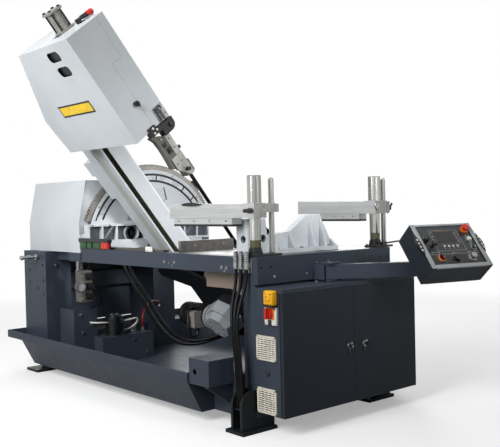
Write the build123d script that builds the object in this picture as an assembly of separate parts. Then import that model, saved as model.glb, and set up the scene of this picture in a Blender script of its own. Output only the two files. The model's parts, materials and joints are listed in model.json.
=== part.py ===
"""Tilt-frame vertical band saw, in millimetres.

x runs to the operator's right from the left end of the front beam, y runs back from
its front face and z runs up from the floor. Head pieces are drawn upright about the
tilt axis and leaned over by HEAD. On export all pieces are moved so that the centre
of the four anchor holes is the origin.
"""
import os
from math import cos, pi, radians, sin, tan

from build123d import *

# Fits
FIT = 0.06
GAP = 0.3

# Standing frame
TABLE_H = 900.0
FRAME_W = 1060.0
FRAME_D = 2560.0
BEAM_D = 80.0
BEAM_H = 98.0
BEAM_WALL = 8.0
BEAM_HOLE_R = 5.5
BEAM_HOLE_STEPS = (29.0, 98.0)
BEAM_HOLE_DROP = 55.0
LEDGE_H = 45.0
LEG_Y0 = 22.0
LEG_Y1 = 115.0
LEG_Z0 = 70.0
LEG_WALL = 6.0
SIDE_W = 80.0
SIDE_H = 92.0
SIDE_END_Y = FRAME_D - 575
RAIL_W = 40.0
RAIL_H = 15.0
RAIL_Y0 = 860.0
TABLE_T = 20.0
TABLE_Y1 = 820.0
SLOT_HALF = 45.0
PED_Y0 = FRAME_D - 340
PED_Y1 = FRAME_D
PED_W = 200.0
PED_OUT = 60.0
BEAM_Z0 = TABLE_H - BEAM_H
LEG_TOP = BEAM_Z0 - LEDGE_H
SIDE_Z0 = TABLE_H - SIDE_H
RAIL_TOP = TABLE_H + RAIL_H
PED_TOP = TABLE_H - 30

# Chip tray
TRAY_X0 = -200.0
TRAY_X1 = FRAME_W + 300
TRAY_Y0 = 353.0
TRAY_Y1 = PED_Y1 + 15
TRAY_TOP = 290.0
TRAY_SHELF = 238.0
TRAY_Z0 = 62.0
TRAY_T = 4.0
HOPPER_IN = 92.0
HOPPER_Y1 = PED_Y0 + 120
TRAY_FRONT_X = (-20.0, FRAME_W + 160)

# Feet
FOOT_T = 18.0
ANCHOR_X = (-95.0, FRAME_W - 192)
ANCHOR_Y = (69.0, HOPPER_Y1 + 21)
ANCHOR_R = 11.0
JACK_R = 10.0
HOSE_SEAT = 128.0

# Control cabinet
CAB_W = 1050.0
CAB_Y0 = -158.0
CAB_Z0 = 102.0
CAB_Z1 = LEG_TOP - 12
CAB_T = 4.0
CAB_HEAD = 20.0
DOOR_T = 20.0
DOOR_GAP = 5.0
DOOR_PIN = 10.0
DOOR_PIN_R = 4.0
LOCK_X = (CAB_W / 2 - 41, CAB_W / 2 + 80)
LOCK_Z = (CAB_Z0 + CAB_Z1) / 2 - 19.5
LOCK_R = 8.0

# Clamps and vise
POST_Y = 66.0
POST_R = 31.0
SLEEVE_R = 37.0
POST_X = (50.0, FRAME_W - 55)
POST_TOP = TABLE_H + 418
POST_NECK_TOP = TABLE_H + 85
ROD_R = 15.0
ROD_X = (168.0, FRAME_W + 25)
ROD_TOP = TABLE_H + 402
ARM_W = 76.0
ARM_Z0 = TABLE_H + 201
ARM_Z1 = ARM_Z0 + 84
ARM_END = (772.0, 680.0)
PAD_Y = ((212.0, 737.0), (160.0, 486.0))
PAD_Z0 = ARM_Z0 - 44
EAR_DROP = (28.0, 5.0)
LEVER_IN = 11.0
LEVERS = ((POST_X[0] - 44, POST_Y - 21, ARM_Z0 + 38), (ROD_X[1] + 28, POST_Y - 14, ARM_Z0 + 30))
JAW_Y0 = 186.0
JAW_Y1 = 233.0
JAW_FACE = 278.0
FIXED_JAW_Y = 784.0

# Boom and console
BOOM_PIVOT = (470.0, -64.0)
BOOM_W = 60.0
BOOM_Z0 = TABLE_H - 142
BOOM_H = 80.0
BOOM_LEN = 530.0
BOOM_TURN = -36.0
BOOM_PIN_R = 14.0
CONSOLE_W = 400.0
CONSOLE_H = 293.0
CONSOLE_D = 128.0
CONSOLE_TOP = TABLE_H + 135
CONSOLE_SLOPE = 49.0
CONSOLE_TURN = -16.0
CONSOLE_LEFT = -142.0
CONSOLE_BACK = -49.5
CHEEK_T = 30.0

# Head
TILT = 38.5
PIVOT_X = 580.0
PIVOT_R = 55.0
BLADE_W = 41.0
BLADE_T = 1.3
BLADE_Y = 828.0
WHEEL_R = 318.0
WHEEL_W = 46.0
WHEEL_TOP = 1330.0
WHEEL_LOW = -470.0
AXLE_R = 30.0
COL_X0 = -70.0
COL_X1 = 74.0
COL_Y0 = 1515.0
COL_Y1 = 1700.0
COL_Z0 = WHEEL_LOW + 180
COL_Z1 = WHEEL_TOP - 356
COL_WALL = 14.0
COL_NOSE = 35.0
STRAND_X0 = -40.0
LOW_END = WHEEL_LOW - 170
PLATE_T = 20.0
GUARD_Y0 = COL_Y0 - 73
SLIDE_Y0 = 980.0
SLIDE_Y1 = 1311.0
SLIDE_HALF = 125.0
HOUSE_X0 = -218.0
HOUSE_X1 = 67.0
HOUSE_Y0 = 775.0
HOUSE_Z0 = COL_Z1 + 3
HOUSE_Z1 = WHEEL_TOP + 336
SHEET = 3.0
SEAM_HIGH = 12.0
SEAM_LOW = -63.0
SEAM_Z = WHEEL_TOP + 80
HINGE_Y = COL_Y0 + 73
HINGE_Z = (WHEEL_TOP - 220, WHEEL_TOP - 40)
HINGE_X = 70.0
WHEEL_Y = BLADE_Y + WHEEL_R + GAP + BLADE_T / 2

# Carriage and tilt gear
CAR_Y0 = 1725.0
CAR_Y1 = 1785.0
CAR_Z0 = TABLE_H + 35
CAR_Z1 = CAR_Z0 + 125
SECTOR_R = 540.0
SECTOR_T = 12.0
SLOT_DEEP = 7.0
SECTOR_FROM = -75.0
SECTOR_TO = 62.0
GEAR_T = 18.0
RIM_IN = 515.0
GEAR_MODULE = 6.0
GEAR_TEETH = 192
PINION_TEETH = 14
BACKLASH = 1.2
FEED_X = FRAME_W - 260
FEED_Z = TABLE_H + 60
FEED_ROD_R = 18.0
FEED_BORE_R = 31.5

HEAD = Pos(PIVOT_X, 0, TABLE_H) * Rot(0, -TILT, 0)
ORIGIN_X = sum(ANCHOR_X) / 2
ORIGIN_Y = sum(ANCHOR_Y) / 2
NODES = {}


def block(x0, x1, y0, y1, z0, z1):
    """Box between two corners."""
    middle = Pos((x0 + x1) / 2, (y0 + y1) / 2, (z0 + z1) / 2)
    return middle * Box(x1 - x0, y1 - y0, z1 - z0)


def rod(start, end, radius):
    """Round bar between two points."""
    line = Vector(*end) - Vector(*start)
    return Solid.make_cylinder(radius, line.length, Plane(start, z_dir=line))


def prism_x(points, x0, x1):
    """Outline in y and z, extruded from x0 to x1."""
    face = Pos(x0, 0, 0) * (Plane.YZ * Polygon(*points, align=None))
    return extrude(face, amount=x1 - x0, dir=(1, 0, 0))


def prism_y(points, y0, y1):
    """Outline in x and z, extruded from y0 to y1."""
    face = Pos(0, y0, 0) * (Plane.XZ * Polygon(*points, align=None))
    return extrude(face, amount=y1 - y0, dir=(0, 1, 0))


def round_edge(shape, axis, point, radius):
    """Fillet the one edge along an axis that is nearest to a point."""
    edge = shape.edges().filter_by(axis).sort_by_distance(point)[0]
    return fillet(edge, radius)


def hose(points, radius):
    """Round hose along straight runs with tangent arcs."""
    path = [Vector(*p) for p in points]
    runs = [(b - a).length for a, b in zip(path, path[1:])]
    radii = []
    for i in range(1, len(path) - 1):
        turn = (path[i] - path[i - 1]).get_angle(path[i + 1] - path[i])
        radii.append(0.45 * min(runs[i - 1], runs[i]) / tan(radians(turn) / 2))
    line = FilletPolyline(*path, radius=radii)
    tube = sweep(Plane(path[0], z_dir=path[1] - path[0]) * Circle(radius), path=line)
    print("hose radii", [round(r) for r in radii], "volume", round(tube.volume),
          "section by length", round(pi * radius ** 2 * line.length))
    return tube


def node(name, *solids):
    """Keep the solids of one piece under its name."""
    NODES[name] = list(solids)


def head_node(name, *solids):
    """Keep head solids, leaned over with the head."""
    node(name, *[HEAD * s for s in solids])


# Front beam and leg frame
beam = block(0, FRAME_W, 0, BEAM_D, BEAM_Z0, TABLE_H)
beam -= block(BEAM_WALL, FRAME_W - BEAM_WALL, BEAM_WALL, BEAM_D - BEAM_WALL,
              BEAM_Z0 + BEAM_WALL, TABLE_H - BEAM_WALL)
for step in BEAM_HOLE_STEPS:
    for x in (step, FRAME_W - step):
        hole_z = TABLE_H - BEAM_HOLE_DROP
        beam -= rod((x, -1, hole_z), (x, BEAM_WALL + 1, hole_z), BEAM_HOLE_R)
node("front_beam", beam)

leg = block(0, FRAME_W, LEG_Y0, LEG_Y1, LEG_Z0, LEG_TOP)
leg -= block(LEG_WALL, FRAME_W - LEG_WALL, LEG_Y0 + LEG_WALL, LEG_Y1 - LEG_WALL,
             LEG_Z0 - 1, LEG_TOP - LEG_WALL)
ledge = block(0, FRAME_W, 0, BEAM_D, LEG_TOP, BEAM_Z0)
ledge -= block(LEG_WALL, FRAME_W + 1, LEG_WALL, BEAM_D - LEG_WALL, LEG_TOP + LEG_WALL, BEAM_Z0 - LEG_WALL)
leg += ledge
for x in (0, FRAME_W - SIDE_W):
    leg += block(x, x + SIDE_W, BEAM_D, LEG_Y1, LEG_TOP, SIDE_Z0)
node("front_leg_frame", leg)

# Side beams with table brackets and feed rails
sides = []
for left in (True, False):
    x0 = 0 if left else FRAME_W - SIDE_W
    side = block(x0, x0 + SIDE_W, BEAM_D, SIDE_END_Y, SIDE_Z0, TABLE_H)
    side -= block(x0 + BEAM_WALL, x0 + SIDE_W - BEAM_WALL, BEAM_D - 1, SIDE_END_Y - BEAM_WALL,
                  SIDE_Z0 + BEAM_WALL, TABLE_H - BEAM_WALL)
    tail_x = SIDE_W / 2 if left else FRAME_W - SIDE_W
    side += block(tail_x, tail_x + SIDE_W / 2, SIDE_END_Y, PED_Y0, SIDE_Z0, TABLE_H)
    for y in (250, 640):
        bracket_x = (SIDE_W, PIVOT_X - 160) if left else (PIVOT_X + 160, FRAME_W - SIDE_W)
        side += block(*bracket_x, y, y + 40, TABLE_H - TABLE_T - 45, TABLE_H - TABLE_T)
    if left:
        side += block(90, 290, 250, 540, TABLE_H - 188, TABLE_H - TABLE_T - 44)
    rail_x = x0 + (SIDE_W - RAIL_W) / 2
    side += block(rail_x, rail_x + RAIL_W, RAIL_Y0, PED_Y0 - 5, TABLE_H, RAIL_TOP)
    sides.append(side)
node("side_beams", *sides)

# Rear pedestals and cross beam
rear = []
for x0 in (-PED_OUT, FRAME_W - PED_W):
    tower = block(x0, x0 + PED_W, PED_Y0, PED_Y1, TRAY_SHELF + TRAY_T, PED_TOP)
    tower -= block(x0 + 6, x0 + PED_W - 6, PED_Y0 + 6, PED_Y1 - 6, 200, PED_TOP - 6)
    tower += block(x0 + 5, x0 + PED_W - 5, PED_Y0, HOPPER_Y1 - 14, TRAY_Z0 + TRAY_T, TRAY_SHELF + TRAY_T)
    rear.append(tower)
for y, drop in ((42, 100), (42, 210), (42, 310), (125, 270), (250, 230), (250, 140)):
    spot = (PED_Y0 + y, PED_TOP - drop)
    rear[0] -= rod((-PED_OUT - 1, *spot), (-PED_OUT + 7, *spot), 9)
cross = block(PED_W - PED_OUT, FRAME_W - PED_W, PED_Y1 - 80, PED_Y1, PED_TOP - 310, PED_TOP - 190)
cross -= block(PED_W - PED_OUT - 1, FRAME_W - PED_W + 1, PED_Y1 - 72, PED_Y1 - 8,
               PED_TOP - 302, PED_TOP - 198)
node("rear_frame", rear[0] + cross + rear[1])

# Chip tray
hopper = [(TRAY_X0, TRAY_SHELF), (TRAY_X1, TRAY_SHELF), (TRAY_X1 - HOPPER_IN, TRAY_Z0),
          (TRAY_X0 + HOPPER_IN, TRAY_Z0)]
tray = block(TRAY_X0, TRAY_X1, TRAY_Y0, TRAY_Y1, TRAY_SHELF, TRAY_TOP)
tray += prism_y(hopper, TRAY_Y0, HOPPER_Y1)
tray += block(*TRAY_FRONT_X, LEG_Y1, TRAY_Y0 + 10, TRAY_Z0, TRAY_TOP)
wall = [(TRAY_X0 + TRAY_T, TRAY_SHELF + TRAY_T), (TRAY_X1 - TRAY_T, TRAY_SHELF + TRAY_T),
        (TRAY_X1 - HOPPER_IN - 3, TRAY_Z0 + TRAY_T), (TRAY_X0 + HOPPER_IN + 3, TRAY_Z0 + TRAY_T)]
tray -= prism_y(wall, TRAY_Y0 + TRAY_T, HOPPER_Y1 - TRAY_T)
tray -= block(TRAY_X0 + TRAY_T, TRAY_X1 - TRAY_T, TRAY_Y0 + TRAY_T, TRAY_Y1 - TRAY_T,
              TRAY_SHELF + TRAY_T, TRAY_TOP + 1)
tray -= block(TRAY_FRONT_X[0] + TRAY_T, TRAY_FRONT_X[1] - TRAY_T, LEG_Y1 + TRAY_T, TRAY_Y0 + 40,
              TRAY_Z0 + TRAY_T, TRAY_TOP + 1)
node("chip_tray", tray)

# Feet with anchor holes, and their jacking screws
feet = []
jacks = []
for y in ANCHOR_Y:
    front = y == ANCHOR_Y[0]
    for x in ANCHOR_X:
        left = x == ANCHOR_X[0]
        plate_x = (-118, 117) if left else (FRAME_W - 210, FRAME_W + 13)
        plate_y = (0, 142) if front else (HOPPER_Y1 - 63, HOPPER_Y1 + 106)
        foot = block(*plate_x, *plate_y, 0, FOOT_T)
        post_x = (0, 117) if left else (FRAME_W - 110, FRAME_W)
        if front:
            foot += block(*post_x, LEG_Y0, LEG_Y1, FOOT_T, LEG_Z0)
        else:
            foot += block(*post_x, HOPPER_Y1 - 55, HOPPER_Y1 - 5, FOOT_T, TRAY_Z0)
            foot += block(*post_x, HOPPER_Y1 + 5, HOPPER_Y1 + 100, FOOT_T, TRAY_SHELF)
        if front and left:
            for rib_y in (LEG_Y0 + 2, LEG_Y1 - 18):
                rib = block(-104, 0, rib_y, rib_y + 16, FOOT_T, 215)
                foot += round_edge(rib, Axis.Y, (-104, rib_y + 8, 215), 70)
            foot += block(-90, 0, LEG_Y0 + 18, LEG_Y1 - 18, HOSE_SEAT - 8, HOSE_SEAT)
        foot -= rod((x, y, -1), (x, y, FOOT_T + 1), ANCHOR_R)
        jack_x = x + 50
        foot -= rod((jack_x, y, -1), (jack_x, y, FOOT_T + 1), JACK_R)
        feet.append(foot)
        screw = rod((jack_x, y, 0), (jack_x, y, 58), JACK_R)
        nut = Pos(jack_x, y, FOOT_T) * extrude(RegularPolygon(17, 6), amount=16)
        jacks.append(screw + nut)
node("base_feet", *feet)

# Table plates and fixed jaws
plates = []
for x0, x1 in ((SIDE_W, PIVOT_X - SLOT_HALF), (PIVOT_X + SLOT_HALF, FRAME_W - SIDE_W)):
    plates.append(block(x0, x1, BEAM_D, TABLE_Y1, TABLE_H - TABLE_T, TABLE_H))
node("table_plates", *plates)
fixed = []
for x0, x1 in ((90, PIVOT_X - 80), (PIVOT_X + 60, FRAME_W - 90)):
    jaw = block(x0, x1, FIXED_JAW_Y, FIXED_JAW_Y + 20, TABLE_H, TABLE_H + 65)
    fixed.append(jaw)
node("fixed_jaws", *fixed)

# Rear cover, open to the front
bend_z = TABLE_H + 180
roof_z = TABLE_H + 465
lean = [(-4, PED_TOP), (-4, bend_z), (55, roof_z), (FRAME_W - 51, roof_z), (FRAME_W + 8, bend_z),
        (FRAME_W + 8, PED_TOP)]
core = [(0, PED_TOP - 1), (0, bend_z), (58, roof_z - 4), (FRAME_W - 54, roof_z - 4),
        (FRAME_W + 4, bend_z), (FRAME_W + 4, PED_TOP - 1)]
cover_y = (CAR_Y1 + 35, PED_Y1 + 10)
cover = prism_y(lean, *cover_y) - prism_y(core, cover_y[0] - 1, cover_y[1] - 4)
cover += block(-8, 0, cover_y[0] - 13, cover_y[0] + 90, TABLE_H - 79, TABLE_H - 6)
cover += block(0, FRAME_W + 4, cover_y[1] - 4, cover_y[1], TRAY_TOP + 5, PED_TOP + 10)
node("rear_cover", cover)

# Control cabinet with hinge pins
cab = block(0, CAB_W, CAB_Y0, LEG_Y0, CAB_Z0, CAB_Z1)
cab -= block(CAB_T, CAB_W - CAB_T, CAB_Y0 - 1, LEG_Y0 - CAB_T, CAB_Z0 + CAB_T, CAB_Z1 - CAB_T)
door_y0 = CAB_Y0 - DOOR_GAP - DOOR_T
pin_y = door_y0 + DOOR_PIN
cab += block(0, CAB_W, door_y0, CAB_Y0, CAB_Z0, CAB_Z0 + CAB_T)
cab += block(0, CAB_W, door_y0, CAB_Y0, CAB_Z1 - CAB_HEAD, CAB_Z1)
for x in (DOOR_PIN, CAB_W - DOOR_PIN):
    cab += rod((x, pin_y, CAB_Z0), (x, pin_y, CAB_Z0 + 22), DOOR_PIN_R)
    cab += rod((x, pin_y, CAB_Z1), (x, pin_y, CAB_Z1 - CAB_HEAD - 18), DOOR_PIN_R)
node("control_cabinet", cab)

# Cabinet doors, low enough to pass under the console, the left one with its lock cap
door_z0 = CAB_Z0 + CAB_T + 1
door_z1 = CAB_Z1 - CAB_HEAD - 1
for left in (True, False):
    x0 = 0 if left else CAB_W / 2 + 1
    x1 = CAB_W / 2 - 1 if left else CAB_W
    door = block(x0, x1, door_y0, door_y0 + DOOR_T, door_z0, door_z1)
    door -= block(x0 + 24, x1 - 24, door_y0 + 3, door_y0 + DOOR_T + 1, door_z0 + 24, door_z1 - 24)
    pin_x = DOOR_PIN if left else CAB_W - DOOR_PIN
    door -= rod((pin_x, pin_y, door_z0 - 1), (pin_x, pin_y, door_z0 + 20), DOOR_PIN_R + FIT)
    door -= rod((pin_x, pin_y, door_z1 + 1), (pin_x, pin_y, door_z1 - 20), DOOR_PIN_R + FIT)
    lock_x = LOCK_X[0] if left else LOCK_X[1]
    if left:
        door += rod((lock_x, door_y0 + 1, LOCK_Z), (lock_x, door_y0 - 7, LOCK_Z), 14)
    else:
        door -= rod((lock_x, door_y0 - 1, LOCK_Z), (lock_x, door_y0 + 4, LOCK_Z), LOCK_R + FIT)
    node("cabinet_door_left" if left else "cabinet_door_right", door)
lock = rod((LOCK_X[1], door_y0 + 12, LOCK_Z), (LOCK_X[1], door_y0, LOCK_Z), LOCK_R)
lock += rod((LOCK_X[1], door_y0, LOCK_Z), (LOCK_X[1], door_y0 - 7, LOCK_Z), 14)
lock += block(LOCK_X[1] - 2, LOCK_X[1] + 2, door_y0 - 34, door_y0 - 7, LOCK_Z - 9, LOCK_Z + 9)
node("door_lock", lock)

# Vents, switch plate and inlet on the cabinet's left side
fittings = []
vent_low = CAB_Z0 + 6
vent_high = CAB_Z1 - 366
for vent_y, vent_z, vent_w, vent_h in ((-134, vent_high, 146, 126), (-130, vent_low, 143, 130)):
    vent = block(-9, 0, vent_y, vent_y + vent_w, vent_z, vent_z + vent_h)
    for i in range(6):
        slit_z = vent_z + 18 + i * (vent_h - 36) / 5.5
        vent -= block(-10, -4, vent_y + 14, vent_y + vent_w - 14, slit_z, slit_z + 8)
    fittings.append(vent)
SWITCH_Y = -106.0
SWITCH_Z = CAB_Z1 - 121
SWITCH_R = 9.0
plate = block(-14, 0, -149, -62, CAB_Z1 - 181, CAB_Z1 - 90)
plate += block(-18, -14, SWITCH_Y - 30, SWITCH_Y + 30, SWITCH_Z - 30, SWITCH_Z + 30)
plate -= rod((-19, SWITCH_Y, SWITCH_Z), (-4, SWITCH_Y, SWITCH_Z), SWITCH_R + FIT)
fittings.append(plate)
hood = block(-44, 0, -150, -78, CAB_Z1 - 87, CAB_Z1 - 4)
fittings.append(round_edge(hood, Axis.Y, (-44, -114, CAB_Z1 - 4), 22))
inlet_z = (vent_low + 130 + vent_high) / 2 + 4.5
fittings.append(rod((0, -66, inlet_z), (-8, -66, inlet_z), 14))
node("cabinet_fittings", *fittings)
grip = rod((-6, SWITCH_Y, SWITCH_Z), (-18, SWITCH_Y, SWITCH_Z), SWITCH_R)
grip += rod((-18, SWITCH_Y, SWITCH_Z), (-30, SWITCH_Y, SWITCH_Z), 24)
grip += block(-50, -29, SWITCH_Y - 7, SWITCH_Y + 7, SWITCH_Z - 26, SWITCH_Z + 26)
node("switch_handle", grip)

# Hydraulic tank with its side box and upright pump, valve block with gauge
tank_y = PED_Y0 - 340
tank = block(190, 620, tank_y, tank_y + 310, TRAY_Z0 + TRAY_T, 255)
tank += block(28, 215, tank_y + 110, tank_y + 310, 150, 459)
tank += rod((325, tank_y + 62, 250), (325, tank_y + 62, 392), 58)
tank += rod((325, tank_y + 62, 391), (325, tank_y + 62, 404), 40)
tank += rod((520, tank_y + 140, 250), (520, tank_y + 140, 292), 34)
node("hydraulic_unit", tank)
valve_y = SIDE_END_Y - 85
valve_top = SIDE_Z0 - 68
gauge_z = valve_top - 109
valves = block(48, 128, valve_y, SIDE_END_Y, valve_top - 220, valve_top)
valves += block(50, 76, valve_y + 30, valve_y + 55, valve_top - 10, SIDE_Z0)
for z in (valve_top - 180, valve_top - 110, valve_top - 40):
    valves += rod((100, valve_y + 1, z), (100, valve_y - 45, z), 19)
    valves += block(78, 122, valve_y - 32, valve_y + 1, z - 22, z + 22)
valves += rod((49, valve_y + 15, gauge_z), (20, valve_y + 15, gauge_z), 8)
valves += rod((20, valve_y + 23, gauge_z), (20, valve_y - 19, gauge_z), 8)
valves += rod((20, valve_y - 18, gauge_z), (20, valve_y - 40, gauge_z), 36)
node("hydraulic_valves", valves)

# Feed cylinder on the frame and its rod on the carriage
mouth_y = CAR_Y1 + 45
tail_y = PED_Y1 - 20
barrel = rod((FEED_X, mouth_y, FEED_Z), (FEED_X, tail_y, FEED_Z), 45)
barrel -= rod((FEED_X, mouth_y + 30, FEED_Z), (FEED_X, tail_y - 15, FEED_Z), FEED_BORE_R)
barrel -= rod((FEED_X, mouth_y - 1, FEED_Z), (FEED_X, mouth_y + 31, FEED_Z), FEED_ROD_R + FIT)
barrel += block(FEED_X - 60, FEED_X + 58, tail_y, tail_y + 16, PED_TOP - 190, FEED_Z + 90)
node("feed_cylinder", barrel)
ram = rod((FEED_X, CAR_Y1, FEED_Z), (FEED_X, tail_y - 60, FEED_Z), FEED_ROD_R)
ram += rod((FEED_X, tail_y - 60, FEED_Z), (FEED_X, tail_y - 35, FEED_Z), FEED_BORE_R - FIT)
ram += rod((FEED_X, CAR_Y1, FEED_Z), (FEED_X, CAR_Y1 + 14, FEED_Z), 40)
node("feed_rod", ram)

# Clamp posts, arms and lock levers
posts = []
for i, name in enumerate(("left", "right")):
    px = POST_X[i]
    rx = ROD_X[i]
    base = block(px - 44, rx + 30, POST_Y - 46, POST_Y + 46, TABLE_H, TABLE_H + 12)
    base += rod((px, POST_Y, TABLE_H + 12), (px, POST_Y, TABLE_H + 40), 34)
    base += rod((px, POST_Y, TABLE_H + 12), (px, POST_Y, POST_NECK_TOP), 26)
    base += rod((px, POST_Y, POST_NECK_TOP), (px, POST_Y, POST_TOP - 2), POST_R)
    base += rod((rx, POST_Y, TABLE_H + 12), (rx, POST_Y, ROD_TOP), ROD_R)
    posts.append(base)
    arm = block(px - 44, px + 44, POST_Y - 44, POST_Y + 44, ARM_Z0, ARM_Z1 - 7)
    arm += block(px + 40, rx + 28, POST_Y - 28, POST_Y + 26, ARM_Z0 + EAR_DROP[i], ARM_Z1 - 12)
    profile = [(POST_Y + 40, ARM_Z0), (ARM_END[i], ARM_Z0), (ARM_END[i], ARM_Z1),
               (POST_Y + 40, ARM_Z1 - 10)]
    arm += prism_x(profile, px - ARM_W / 2, px + ARM_W / 2)
    arm += block(px - 34, px + 34, *PAD_Y[i], PAD_Z0, ARM_Z0)
    arm += rod((px, POST_Y, ARM_Z0), (px, POST_Y, POST_TOP), SLEEVE_R)
    arm -= rod((px, POST_Y, ARM_Z0 - 1), (px, POST_Y, POST_TOP + 1), POST_R + FIT)
    arm -= rod((rx, POST_Y, ARM_Z0 - 1), (rx, POST_Y, ARM_Z1), ROD_R + FIT)
    out = -1 if name == "left" else 1
    face_x, lever_y, lever_z = LEVERS[i]
    spot = (lever_y, lever_z)
    arm -= rod((face_x + out, *spot), (face_x - out * (LEVER_IN + 1), *spot), 8 + FIT)
    node("clamp_arm_" + name, arm)
    lever = rod((face_x - out * LEVER_IN, *spot), (face_x, *spot), 8)
    lever += rod((face_x, *spot), (face_x + out * 16, *spot), 14)
    if name == "left":
        lever += rod((face_x - 20, lever_y - 30, lever_z), (face_x - 20, lever_y + 30, lever_z), 10)
    else:
        lever += rod((face_x + 16, lever_y + 18, lever_z - 30), (face_x + 16, lever_y - 18, lever_z + 30), 6)
    node("clamp_lever_" + name, lever)
node("clamp_posts", *posts)

# Moving vise jaw with ribs and face blocks
heights = [(100, 0), (100, 195), (232, 195), (242, 102), (419, 118), (548, 204), (655, 207), (755, 34),
           (755, 0)]
outline = [(x, TABLE_H + height) for x, height in heights]
vise = prism_y(outline, JAW_Y0, JAW_Y1)
vise += block(100, 340, JAW_Y1, JAW_FACE, TABLE_H, TABLE_H + 100)
vise += block(100, 232, JAW_Y1, JAW_FACE, TABLE_H, TABLE_H + 195)
vise += block(690, 755, JAW_Y1, JAW_FACE, TABLE_H, TABLE_H + 34)
vise += block(260, 755, 132, JAW_Y0, TABLE_H, TABLE_H + 22)
for x, height in ((262, 100), (400, 110), (560, 198), (650, 200), (735, 62)):
    rib = [(134, TABLE_H + 20), (JAW_Y0, TABLE_H + 20), (JAW_Y0, TABLE_H + height)]
    vise += prism_x(rib, x, x + 16)
vise -= rod((99, JAW_Y0 + 35, TABLE_H + 84), (118, JAW_Y0 + 35, TABLE_H + 84), 16)
vise -= rod((212, JAW_Y0 - 1, TABLE_H + 86), (212, JAW_Y0 + 18, TABLE_H + 86), 16)
node("vise_jaw", vise)

# Boom bracket, boom and console
bx, by = BOOM_PIVOT
bracket = block(bx - 60, bx + 60, -10, 0, BOOM_Z0 - 11, TABLE_H - 50)
for z0 in (BOOM_Z0 - 11, BOOM_Z0 + BOOM_H + 1):
    lug = block(bx - 42, bx + 42, by - 42, -10, z0, z0 + 10)
    bracket += lug
bracket += block(bx - 60, bx - 52, by - 10, -9, BOOM_Z0 - 1, BOOM_Z0 + BOOM_H + 1)
bracket += rod((bx, by, BOOM_Z0 - 11), (bx, by, BOOM_Z0 + BOOM_H + 11), BOOM_PIN_R)
node("boom_bracket", bracket)

BOOM = Pos(bx, by, 0) * Rot(0, 0, BOOM_TURN)
boom = block(-38, BOOM_LEN + 30, -BOOM_W / 2, BOOM_W / 2, BOOM_Z0, BOOM_Z0 + BOOM_H)
boom -= block(60, BOOM_LEN - 40, -BOOM_W / 2 + 5, BOOM_W / 2 - 5, BOOM_Z0 - 1, BOOM_Z0 + BOOM_H - 5)
for end_x in (-38, BOOM_LEN + 30):
    boom = round_edge(boom, Axis.Z, (end_x, -BOOM_W / 2, BOOM_Z0 + 40), 18)
    boom = round_edge(boom, Axis.Z, (end_x, BOOM_W / 2, BOOM_Z0 + 40), 18)
boom -= rod((0, 0, BOOM_Z0 - 1), (0, 0, BOOM_Z0 + BOOM_H + 1), BOOM_PIN_R + FIT)
boom -= rod((BOOM_LEN, 0, BOOM_Z0 + 15), (BOOM_LEN, 0, BOOM_Z0 + BOOM_H + 1), 15 + FIT)
node("boom_arm", BOOM * boom)

swivel_x = bx + BOOM_LEN * cos(radians(BOOM_TURN))
swivel_y = by + BOOM_LEN * sin(radians(BOOM_TURN))
CONSOLE = Pos(swivel_x, swivel_y, 0) * Rot(0, 0, CONSOLE_TURN)
slope = radians(CONSOLE_SLOPE)
rise = CONSOLE_H * sin(slope)
run = CONSOLE_H * cos(slope)
deep_y = CONSOLE_D * sin(slope)
deep_z = CONSOLE_D * cos(slope)
top_back = (CONSOLE_BACK, CONSOLE_TOP)
low_front = (CONSOLE_BACK - run, CONSOLE_TOP - rise)
low_back = (low_front[0] + deep_y, low_front[1] - deep_z)
high_back = (CONSOLE_BACK + deep_y, CONSOLE_TOP - deep_z)
right = CONSOLE_LEFT + CONSOLE_W
case = prism_x([top_back, low_front, low_back, high_back], CONSOLE_LEFT + CHEEK_T, right - CHEEK_T)
boom_top = BOOM_Z0 + BOOM_H
seat_z = high_back[1] - (high_back[0] + 28) * tan(slope)
case += prism_x([(-28, boom_top + 8), (high_back[0], boom_top + 8), high_back, (-28, seat_z)], -40, 40)
case += rod((0, 0, boom_top + 9), (0, 0, boom_top), 30)
case += rod((0, 0, boom_top + 1), (0, 0, BOOM_Z0 + 17), 15)

# Face frame: x along the width, y up the face, z out of it, from the face's top left corner
FACE = CONSOLE * Pos(CONSOLE_LEFT, CONSOLE_BACK, CONSOLE_TOP) * Rot(CONSOLE_SLOPE, 0, 0)
PANEL_T = 3.0
BUTTON_R = 9.0
HUB_Z = -10.0
controls = {"estop_button": (342, -44), "start_button": (338, -110), "mode_selector": (98, -225),
            "speed_dial": (195, -231), "joystick": (72, -150)}
panel = block(CHEEK_T + 1, CONSOLE_W - CHEEK_T - 1, -CONSOLE_H + 24, -10, 0, PANEL_T)
case = CONSOLE * case
for u, v in controls.values():
    panel -= rod((u, v, -1), (u, v, PANEL_T + 1), BUTTON_R + FIT)
    case -= FACE * rod((u, v, -28), (u, v, 1), BUTTON_R + FIT)
node("console_case", case)
node("console_panel", FACE * panel)
cheeks = []
for x0 in (CONSOLE_LEFT, right - CHEEK_T):
    rim = [(CONSOLE_BACK - 6, CONSOLE_TOP + 8), (low_front[0] - 8, low_front[1] + 6), low_back, high_back]
    cheek = prism_x(rim, x0, x0 + CHEEK_T)
    cheeks.append(CONSOLE * cheek)
node("console_cheeks", *cheeks)


def control(name, *solids, stem=rod((0, 0, -20), (0, 0, 5), BUTTON_R)):
    """One control on the face, with its stem in the well."""
    u, v = controls[name]
    shape = Pos(u, v, 0) * stem
    for solid in solids:
        shape += Pos(u, v, 0) * solid
    node(name, FACE * shape)


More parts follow.
